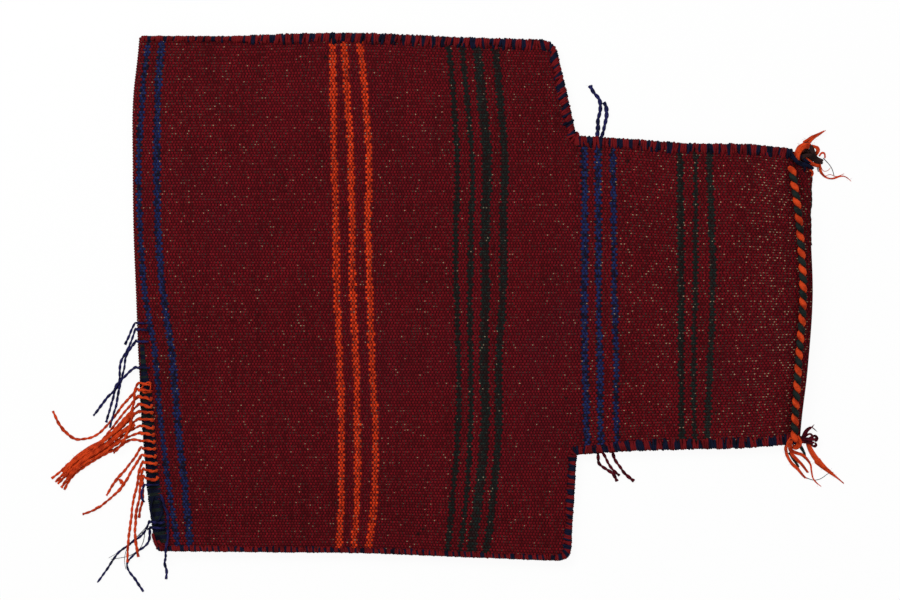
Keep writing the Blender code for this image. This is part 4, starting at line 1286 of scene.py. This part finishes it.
def strand_piece(context, name, kind, nodes, fuller=1.42, root=True, droop=0.0, sunk=0.0, shift=(0, 0, 0)):
    """One piece of two-ply strands that follow the plain strands of the named nodes."""
    dice = random.Random(context.scene.kilim_yarn.seed + len(name))
    lines = []
    for node in nodes:
        rings = strand_rings(node)
        if root:
            rings = rooted(rings)
        path = smooth_line(rings, STRAND_STEP, dice, STRAND_SWAY)
        drop = droop * dice.uniform(0.5, 1.3)
        line = []
        for i, (point, radius) in enumerate(path):
            along = i * STRAND_STEP
            hang = smooth(along / DROOP_RISE) * (1 - smooth((along - DROOP_TOP) / DROOP_FALL))
            hidden = sunk * (1 - smooth((along - SUNK_LENGTH) / SUNK_LENGTH))
            line.append((point + Vector(shift) - Vector((0.0, drop * hang, hidden)), radius * fuller))
        lines.append(line)
    obj = thick_lines(name, lines)
    ply_lines(context, obj, kind, plies=2, ply_size=0.64, orbit=0.4, step=0.0008, slimmer=0.12)
    finish_yarn(context, obj, kind, nodes, density=16000.0)


def photo_place(across, down, height):
    """A place on the bag for one in the photograph, at a height in millimetres."""
    return Vector(((across - ORIGIN_ACROSS) * PIXEL, (ORIGIN_DOWN - down) * PIXEL, height / 1000))


# Steps along a loose bundle, how far its yarns sway and how late its width changes
TUFT_STEP = 0.0009
TUFT_SWAY = 0.00018
TUFT_TAPER = 1.5
# How far out in a bundle its yarns lie, how flat it is, and the angle and the way of their drift round it
TUFT_SPREAD = 0.74
TUFT_FLATNESS = 0.55
TUFT_TILT = 1.3
TUFT_TURN = 1.4
TUFT_DRIFT = 0.02
# Thickness of a yarn that is alone, of the yarns in a bundle together, and of the thinnest
LONE_YARN = 0.6
SHARED_YARN = 1.2
THINNEST_YARN = 0.00009


def bundle_lines(dice, start, end, plies, places):
    """The yarns of one bundle, which drift round its middle and end at different places."""
    rings = []
    for i, place in enumerate(places):
        width = lerp(start, end, (i / (len(places) - 1)) ** TUFT_TAPER)
        rings.append((photo_place(*place), width * PIXEL / 2))
    lines = []
    for _ in range(plies):
        turn = dice.uniform(0, math.tau)
        off = math.sqrt(dice.uniform(0.05, 1.0)) * TUFT_SPREAD
        thick = LONE_YARN if plies == 1 else SHARED_YARN / plies**0.5
        drift = dice.uniform(-TUFT_TURN, TUFT_TURN)
        stop = dice.uniform(0.9, 1.0) if plies > 1 else 1.0
        line = []
        for i, (point, radius) in enumerate(smooth_line(rings, TUFT_STEP, dice, TUFT_SWAY)):
            angle = turn + drift * (i * TUFT_STEP / TUFT_DRIFT)
            rise = TUFT_FLATNESS * math.sin(angle + TUFT_TILT)
            aside = Vector((math.cos(angle), math.sin(angle), rise)) * radius * off
            line.append((point + aside * (plies > 1), max(radius * thick, THINNEST_YARN)))
        lines.append(line[: max(int(len(line) * stop), 4)])
    return lines


def tuft_piece(context, name, kind, nodes, bundles):
    """One piece of loose bundles of yarn, as LOOSE_YARN describes them."""
    dice = random.Random(context.scene.kilim_yarn.seed + len(name))
    obj = thick_lines(name, [line for bundle in bundles for line in bundle_lines(dice, *bundle)])
    ply_lines(context, obj, kind, plies=1, ply_size=1.0, step=TUFT_STEP)
    finish_yarn(context, obj, kind, nodes, density=22000.0, longer=1.5)


# How far the cord's ends run on, down into the knots, the steps along it, and its nodes
CORD_TAIL_LEFT = Vector((-0.0008, 0.0035, -0.001))
CORD_TAIL_RIGHT = Vector((-0.0006, -0.0058, -0.0006))
CORD_STEP = 0.001
CORD_NODES = ("mouth_cord_orange_ply", "mouth_cord_charcoal_ply")


class KILIM_OT_mouth_cord(bpy.types.Operator):
    """Twist an orange and a charcoal ply along the front lip"""

    bl_idname = "kilim.mouth_cord"
    bl_label = "Mouth cord"

    def execute(self, context):
        yarn = context.scene.kilim_yarn
        wool = wool_materials(context)
        plies = [strand_rings(node) for node in CORD_NODES]
        for rings in plies:
            if rings[0][0].y > rings[-1][0].y:
                rings.reverse()
        middle = [(a[0] + b[0]) / 2 for a, b in zip(*plies)]
        middle = [middle[0] + CORD_TAIL_RIGHT, *middle, middle[-1] + CORD_TAIL_LEFT]
        obj = thick_lines("mouth_cord", [smooth_line([(point, 1.0) for point in middle], CORD_STEP)])
        add_nodes(
            obj, "Plied yarn", plies=2, ply_size=yarn.cord_ply / 2, orbit=yarn.cord_orbit,
            twist_length=yarn.cord_lead, step=0.0007, sides=10, slimmer=0.0, bulge=0.62,
            material=wool["orange_yarn"], second_material=wool["charcoal_yarn"],
        )
        finish_yarn(context, obj, "cord", CORD_NODES, density=20000.0)
        return {"FINISHED"}


# The binding's strands: their radius and spacing, where one lies over the front, from its sunk start to
# the fold, and the angles at which it goes on round the fold
BINDING_RADIUS = 0.0006
BINDING_SPACING = 0.0009
BINDING_INWARD = (-0.0082, -0.0062, -0.0035, 0.0)
BINDING_ANGLES = (0.4, 0.8, 1.2, 1.57, 1.9)
BINDING_STEPS = 40
# It reaches less far in above, and further below: where each change starts along the fold, the way it
# takes, and how much of the reach it adds
BINDING_ABOVE = (-0.085, 0.035, -0.6)
BINDING_BELOW = (-0.145, -0.012, 0.12)


def binding_reach(y):
    """How far the binding reaches in over the front at a place along the fold, as a share."""
    changes = (BINDING_ABOVE, BINDING_BELOW)
    return 1.0 + sum(gain * smooth((y - start) / way) for start, way, gain in changes)


class KILIM_OT_base_binding(bpy.types.Operator):
    """Bind the lower half of the base fold with dark yarn"""

    bl_idname = "kilim.base_binding"
    bl_label = "Base binding"

    def execute(self, context):
        shape = bag_shape(context)
        wool = wool_materials(context)
        low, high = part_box("base_edge_binding")
        line = []
        for i in range(BINDING_STEPS + 1):
            y = lerp(low[1], high[1], i / BINDING_STEPS)
            x, z = shape.fold_middle(y)
            line.append(((x, y, z), binding_reach(y)))
        half = shape.fold_radius + BINDING_RADIUS
        path = [(0.0, out, half) for out in BINDING_INWARD]
        path[0] = (0.0, BINDING_INWARD[0], half - BINDING_RADIUS * ROOT_DEPTH)
        path += [(0.0, half * math.sin(angle), half * math.cos(angle)) for angle in BINDING_ANGLES]
        stitch = path_object("binding_stitch", path)
        marks = {"repeat": 7.0, "navy": 3.0, "lean": 0.0}
        marks = {label: [value] * len(line) for label, value in marks.items()}
        obj = thick_lines("base_binding", [line], **marks)
        add_nodes(
            obj, "Overcast stitches", stitch=stitch, spacing=BINDING_SPACING, yarn_radius=BINDING_RADIUS,
            unevenness=0.06, lean=0.08, seed=context.scene.kilim_yarn.seed,
            material=wool["charcoal_yarn"], second_material=wool["dark_navy_yarn"],
        )
        finish_yarn(context, obj, "charcoal", ["base_edge_binding"], density=20000.0)
        bpy.data.objects.remove(stitch)
        return {"FINISHED"}


class KILIM_OT_base_fringe(bpy.types.Operator):
    """Hang the orange and navy strands over the base fold"""

    bl_idname = "kilim.base_fringe"
    bl_label = "Base fringe"

    def execute(self, context):
        strand_piece(context, "orange_fringe", "orange", nodes_named("fringe_strand"), droop=0.0017)
        navy = nodes_named("navy_strand", "navy_curl", "corner_")
        strand_piece(context, "navy_fringe", "ink", navy, sunk=0.0017)
        return {"FINISHED"}


class KILIM_OT_yarn_ends(bpy.types.Operator):
    """Add the yarn ends at the neck's root and the thread along the back lip"""

    bl_idname = "kilim.yarn_ends"
    bl_label = "Neck ends and lip thread"

    def execute(self, context):
        strand_piece(context, "neck_ends_navy", "ink", nodes_named("neck_tail_navy"), fuller=1.3)
        strand_piece(context, "neck_ends_red", "deep red", nodes_named("neck_tail_madder"), fuller=1.45)
        strand_piece(
            context, "lip_thread", "charcoal", ["back_lip_thread"], fuller=1.3, root=False,
            shift=(-0.0013, 0.0, 0.0006),
        )
        return {"FINISHED"}


# Loose yarn by piece: its name, its kind, how the names of the nodes that it replaces start, and its
# bundles. A bundle has a width in pixels at its start and at its end, its number of yarns, and its
# places, as pixels across and down in the photograph and a height in millimetres
LOOSE_YARN = (
    # The knot at the mouth's left corner
    ("left_knot_orange", "orange", ("left_knot_orange_wrap", "left_knot_orange_tail"), (
        (7.0, 6.6, 10, (
            (796.5, 160.5, 6.4), (796.8, 155, 9.5), (799.5, 149, 10.6), (804, 146, 10.4),
            (809.5, 147, 8.8),
        )),
        (3.6, 3.4, 5, ((812.6, 145.6, 7.5), (816.4, 146.8, 8.4), (818, 150.5, 7.8), (815.6, 155.5, 6.0))),
        (2.4, 2.2, 3, ((819, 156.5, 6.8), (821.5, 153.4, 7.6), (824.4, 154.2, 7.2), (824.8, 159.5, 5.4))),
        (4.0, 3.4, 5, ((804.5, 156.5, 6.8), (809.5, 161, 7.2), (814.5, 164.6, 6.6), (819.5, 165.4, 5.2))),
        (3.2, 1.0, 5, (
            (820, 163, 4.6), (820.4, 168, 3.0), (822.4, 172.6, 1.8), (827.6, 177, 1.3), (834, 178, 1.2),
            (841, 175.8, 1.2), (847, 176.6, 1.1), (852.5, 181.4, 1.0),
        )),
        (1.2, 0.9, 1, ((821, 165, 4.0), (824, 170.6, 2.2), (828.4, 170.4, 1.6), (831.6, 167.4, 1.2))),
        (1.2, 0.8, 1, ((826, 176, 1.8), (831, 174.2, 1.7), (837, 176, 1.5), (845, 173.6, 1.4))),
        (2.6, 2.2, 3, ((810.4, 169.4, 4.6), (813.4, 172.4, 5.0), (812.2, 176.2, 4.4))),
    )),
    ("left_tuft_orange", "orange", ("left_knot_orange_tuft",), (
        (7.0, 0.9, 14, (
            (804.6, 144.4, 6.5), (808.8, 141, 5.4), (813.6, 137, 4.2), (819.4, 134, 3.2),
            (827, 129.6, 2.4),
        )),
    )),
    ("left_knot_charcoal", "brown", ("left_knot_charcoal_loop", "left_knot_charcoal_tail"), (
        (4.6, 5.0, 4, (
            (806.6, 143.4, 7.0), (810.4, 144.6, 10.8), (813, 150, 11.2), (815, 155, 9.8), (819, 158, 8.0),
            (823.4, 159.4, 5.6),
        )),
        (5.0, 5.0, 4, ((798.6, 153.4, 6.6), (803, 151.2, 6.4), (807.4, 151.4, 6.6), (812.4, 153.6, 7.0))),
        (3.4, 3.4, 3, ((806.4, 150.6, 7.6), (810.6, 152.4, 7.6), (814.4, 154.4, 7.2))),
        (5.4, 6.0, 6, (
            (801.6, 156.4, 8.0), (806, 154.6, 9.6), (811.4, 156, 9.0), (817, 160, 7.4), (821.4, 163, 5.4),
        )),
        (1.5, 1.2, 1, ((823.6, 158, 5.8), (828.6, 162.6, 3.4), (833, 168.4, 1.8), (835.2, 176.4, 1.3))),
        (2.2, 1.8, 1, ((818, 163.6, 4.6), (818.4, 168, 2.6), (819.4, 171.4, 1.6))),
    )),
    # The knot at the mouth's right corner
    ("right_knot_orange", "orange", ("right_knot_orange_wrap", "right_knot_strand"), (
        (5.6, 5.2, 7, (
            (796.4, 437.4, 8.6), (798.6, 441.4, 9.0), (798, 445.6, 8.2), (795, 447.6, 6.4),
            (792, 446.5, 5.4),
        )),
        (3.8, 1.6, 5, (
            (791.4, 438.4, 10.4), (787.6, 443.4, 8.8), (785.8, 449.6, 3.2), (787.6, 456.4, 1.6),
            (792.4, 464, 1.6), (798.4, 469.4, 1.6), (804, 476, 1.5), (808.8, 480.6, 1.3),
        )),
        (3.8, 1.0, 5, (
            (792.4, 438.6, 10.6), (790.2, 444.6, 9.4), (791.6, 450.6, 4.2), (797.6, 453.6, 2.8),
            (803, 455.4, 2.4), (808, 459.6, 1.6), (811.6, 465, 1.5), (812.4, 471, 1.5), (814, 478.4, 1.4),
            (818.4, 484, 1.2), (823, 487.4, 1.0),
        )),
        (3.2, 1.8, 3, (
            (790.8, 446, 7.0), (792, 453.6, 3.4), (798.2, 460.4, 2.2), (803.2, 465, 1.5),
            (809.4, 473.6, 1.3),
        )),
    )),
    ("right_knot_charcoal", "charcoal", ("right_knot_charcoal_end",), (
        (3.4, 2.4, 3, (
            (799, 443, 6.6), (802.4, 447.4, 4.6), (805, 451.6, 3.0), (806.4, 455.4, 1.8),
            (804.4, 458.6, 1.4),
        )),
        (3.2, 3.0, 3, ((789.6, 453.6, 1.8), (793, 458.6, 1.6), (796.6, 463.4, 1.4), (799.2, 467.6, 1.3))),
        (1.4, 0.8, 1, (
            (799.2, 467.6, 1.6), (801.6, 473.4, 1.0), (807, 478, 0.9), (814.6, 480.6, 0.9),
            (822, 479, 0.9), (829.4, 473.8, 1.2), (834, 472.4, 3.4),
        )),
    )),
    ("right_tuft_red", "deep red", ("right_knot_madder_tuft",), (
        (8.4, 9.0, 20, ((797.6, 440, 5.4), (803, 440.4, 5.2), (809.6, 441, 4.8), (814.4, 440.8, 4.2))),
        (2.4, 2.2, 2, ((810, 437.6, 4.8), (814.6, 435.4, 5.2), (817.4, 438.4, 4.8), (815.4, 442, 4.0))),
        (2.2, 2.0, 2, ((811, 443.4, 4.4), (814.6, 446.8, 4.2), (817.2, 445, 3.8), (815.6, 442.6, 3.6))),
        (2.0, 1.8, 2, ((805, 436.6, 5.0), (809, 433.6, 5.4), (812.4, 435.4, 5.0), (813, 439, 4.4))),
        (2.6, 0.7, 5, (
            (802.6, 438.6, 4.6), (804.6, 433.6, 4.4), (808, 429.4, 3.4), (812.4, 427.8, 2.6),
            (818.8, 432.4, 2.0),
        )),
        (1.8, 0.5, 4, ((805.6, 435.6, 4.4), (808.4, 431, 3.8), (812, 427.4, 3.0), (815.6, 424.6, 2.4))),
    )),
    ("right_tail_orange", "orange", ("right_knot_orange_tail",), (
        (5.0, 6.0, 9, (
            (808.6, 443.6, 3.4), (811.2, 450.4, 3.0), (815.4, 457.4, 2.6), (820.2, 463.4, 2.4),
            (824.4, 468, 2.4),
        )),
        (6.2, 0.9, 12, (
            (818, 460.8, 2.4), (823.4, 466.8, 2.4), (830.6, 472.2, 2.2), (837.6, 478, 2.0),
            (845.4, 484.4, 1.4),
        )),
    )),
    # Yarn beside the knots: ends of the overcasting, the bunch and the fine threads of the fringe
    ("left_corner_yarn", "seam navy", (), (
        (4.4, 4.4, 3, (
            (792, 155.4, 10.0), (796.6, 160.4, 9.4), (802.6, 163.4, 7.4), (808.4, 164.8, 6.4),
            (812.8, 168.6, 5.0),
        )),
        (3.6, 3.4, 3, ((798.6, 155.8, 8.2), (804.4, 160, 7.6), (810.4, 163.4, 6.4))),
        (2.8, 2.6, 2, ((804.6, 164.6, 6.8), (805.4, 169.4, 6.0), (805, 172.4, 4.6))),
    )),
    ("fringe_mass", "orange", (), (
        (4.4, 6.4, 11, (
            (134, 413, 5.4), (125, 421, 3.6), (113, 432, 2.8), (100, 442.4, 2.5), (87, 449.6, 2.4),
            (74, 459.4, 2.4), (62, 474, 2.3),
        )),
        (4.2, 6.0, 9, (
            (134, 425, 5.0), (124, 431, 3.4), (112, 440, 2.7), (101, 448.4, 2.4), (90, 455.4, 2.4),
            (79, 463.4, 2.3), (65, 481, 2.2),
        )),
    )),
    ("fringe_knots", "orange", (), (
        (3.6, 3.0, 3, ((119.6, 479.4, 2.2), (121, 482, 2.6), (121.6, 485, 2.2))),
        (2.6, 2.4, 2, ((95, 509.4, 2.0), (97, 508.4, 2.2), (99.4, 507, 2.0))),
        (2.2, 2.0, 2, ((61.2, 430, 1.8), (62.6, 431.8, 1.9), (64.6, 432.6, 1.8))),
    )),
    ("corner_web", "navy", (), (
        (1.5, 0.7, 1, (
            (151, 522, 6.4), (145, 528, 3.2), (136, 537.4, 1.2), (123, 548.6, 1.0), (108, 559, 0.9),
        )),
        (1.2, 0.8, 1, (
            (149, 528, 6.0), (142.4, 532.4, 2.6), (133, 540, 1.2), (121, 551.4, 0.9), (112, 559.6, 0.9),
        )),
        (1.3, 1.0, 1, (
            (144, 534, 2.4), (142.6, 542, 1.0), (138.4, 550, 0.9), (128, 556.6, 0.9), (110, 560, 0.9),
        )),
        (1.1, 0.7, 1, ((128.4, 544, 1.6), (125, 552.4, 0.9), (123.6, 561.4, 0.9), (125, 570, 0.9))),
        (1.6, 1.2, 2, (
            (160, 500, 8.4), (161.6, 512, 8.2), (157.6, 522, 8.2), (151.6, 527, 7.8), (147, 531, 5.6),
        )),
        (1.5, 1.2, 2, (
            (154, 496, 8.2), (150.4, 508, 8.0), (153.4, 518, 8.2), (159.4, 525.6, 8.4), (157, 533.4, 8.2),
        )),
    )),
    ("first_hook_loop", "orange", (), (
        (2.2, 2.2, 1, (
            (140.4, 389.4, 7.6), (143.4, 385.4, 8.4), (147, 382.8, 8.8), (150.2, 382.4, 8.8),
            (150.6, 386.6, 8.8), (149.8, 390.4, 8.8), (146.6, 392.8, 8.6), (142.6, 392.4, 8.0),
        )),
    )),
    ("corner_end_red", "seam", (), (
        (3.4, 3.2, 4, ((153.2, 534, 8.4), (154.6, 539, 8.6), (156.4, 544, 8.4), (158.4, 548.4, 7.4))),
        (3.0, 3.0, 3, ((157.6, 541, 8.6), (160, 544.4, 8.4), (163.6, 547.4, 7.8))),
    )),
    ("shoulder_end_red", "seam", (), (
        (4.4, 3.2, 5, ((577.4, 144, 8.8), (577.6, 139.4, 8.6), (577.8, 135.4, 7.0), (577.4, 131.6, 5.0))),
    )),
)


class KILIM_OT_mouth_knots(bpy.types.Operator):
    """Knot loose yarn at the mouth's two corners, and leave the overcasting's ends"""

    bl_idname = "kilim.mouth_knots"
    bl_label = "Knots and yarn ends"

    def execute(self, context):
        for name, kind, starts, bundles in LOOSE_YARN:
            tuft_piece(context, name, kind, nodes_named(*starts), bundles)
        return {"FINISHED"}


# The floor's own grey, how much of the white the camera sees there instead, and the lamps: each one's
# name, place, side and share of the main lamp's power
FLOOR_GREY = (0.92, 0.92, 0.92)
FLOOR_GLOW = 0.93
LAMPS = (("key_lamp", (-0.7, 1.1, 1.5), 1.0, 1.0), ("fill_lamp", (1.2, -0.6, 1.6), 1.4, 0.35))
# The camera's sensor, in millimetres, and how far it sees
SENSOR_WIDTH = 36.0
FAR = 50.0
# The height at which the camera and the lamps aim, in millimetres
AIM_HEIGHT = 8.0


def floor_material():
    """A white floor that keeps a faint shadow."""
    material, graph = new_material("pale_floor")
    seen = graph.node("ShaderNodeLightPath", None, None, "Is Camera Ray")
    plain = graph.node("ShaderNodeBsdfDiffuse", None, {"Color": opaque(FLOOR_GREY)})
    white = graph.node("ShaderNodeEmission", None, {"Color": WHITE, "Strength": 1.0})
    mixed = graph.node("ShaderNodeMixShader", None, {0: seen * FLOOR_GLOW, 1: plain, 2: white})
    graph.node("ShaderNodeOutputMaterial", None, {"Surface": mixed})
    return material


class KILIM_OT_stage(bpy.types.Operator):
    """Set the floor, the lamps, the sky and the camera"""

    bl_idname = "kilim.stage"
    bl_label = "Stage"

    def execute(self, context):
        looks = context.scene.kilim_stage
        half = looks.floor_side / 2
        corners = [(-half, -half, 0.0), (half, -half, 0.0), (half, half, 0.0), (-half, half, 0.0)]
        floor = new_object("floor", corners, (), [(0, 1, 2, 3)])
        floor.data.materials.append(floor_material())

        wide, high = PHOTO_SIZE
        middle = photo_place(wide / 2, high / 2, AIM_HEIGHT)
        lens = bpy.data.cameras.new("camera")
        lens.lens = looks.lens
        lens.sensor_width = SENSOR_WIDTH
        lens.clip_end = FAR
        away = Vector((0.0, 0.0, wide * PIXEL * looks.lens / SENSOR_WIDTH))
        context.scene.camera = put_object("camera", lens, middle + away)

        for name, place, side, strength in LAMPS:
            lamp = bpy.data.lights.new(name, "AREA")
            lamp.energy = looks.lamp_power * strength
            lamp.size = side
            obj = put_object(name, lamp, place)
            obj.rotation_euler = (middle - obj.location).to_track_quat("-Z", "Y").to_euler()

        world = bpy.data.worlds.new("even_sky")
        world.use_nodes = True
        world.node_tree.nodes.clear()
        graph = Graph(world.node_tree)
        path = graph.node("ShaderNodeLightPath", None, None, "Is Camera Ray")
        light = graph.node("ShaderNodeBackground", None, {"Color": WHITE, "Strength": looks.sky})
        white = graph.node("ShaderNodeBackground", None, {"Color": WHITE, "Strength": 1.0})
        both = graph.node("ShaderNodeMixShader", None, {0: path, 1: light, 2: white})
        graph.node("ShaderNodeOutputWorld", None, {"Surface": both})
        context.scene.world = world
        context.scene.view_settings.view_transform = "Standard"
        return {"FINISHED"}


class KILIM_PT_panel(bpy.types.Panel):
    """The bag's sizes and colours, and a button for each piece"""

    bl_idname = "KILIM_PT_panel"
    bl_label = "Kilim bag"
    bl_space_type = "VIEW_3D"
    bl_region_type = "UI"
    bl_category = "Kilim bag"

    def draw(self, context):
        for name, group in GROUPS.items():
            box = self.layout.box()
            box.label(text=group.__doc__)
            settings = getattr(context.scene, name)
            for label in group.__annotations__:
                box.prop(settings, label)
        for operator in OPERATORS:
            self.layout.operator(operator.bl_idname)


OPERATORS = (
    KILIM_OT_cloth,
    KILIM_OT_side_seams,
    KILIM_OT_mouth_cord,
    KILIM_OT_base_binding,
    KILIM_OT_base_fringe,
    KILIM_OT_yarn_ends,
    KILIM_OT_mouth_knots,
    KILIM_OT_stage,
)


def register():
    for cls in (*GROUPS.values(), *OPERATORS, KILIM_PT_panel):
        bpy.utils.register_class(cls)
    for name, group in GROUPS.items():
        setattr(bpy.types.Scene, name, bpy.props.PointerProperty(type=group))


def unregister():
    for name in GROUPS:
        delattr(bpy.types.Scene, name)
    for cls in reversed((*GROUPS.values(), *OPERATORS, KILIM_PT_panel)):
        bpy.utils.unregister_class(cls)


def main():
    register()
    for operator in OPERATORS:
        group, name = operator.bl_idname.split(".")
        getattr(getattr(bpy.ops, group), name)()


if __name__ == "__main__":
    main()
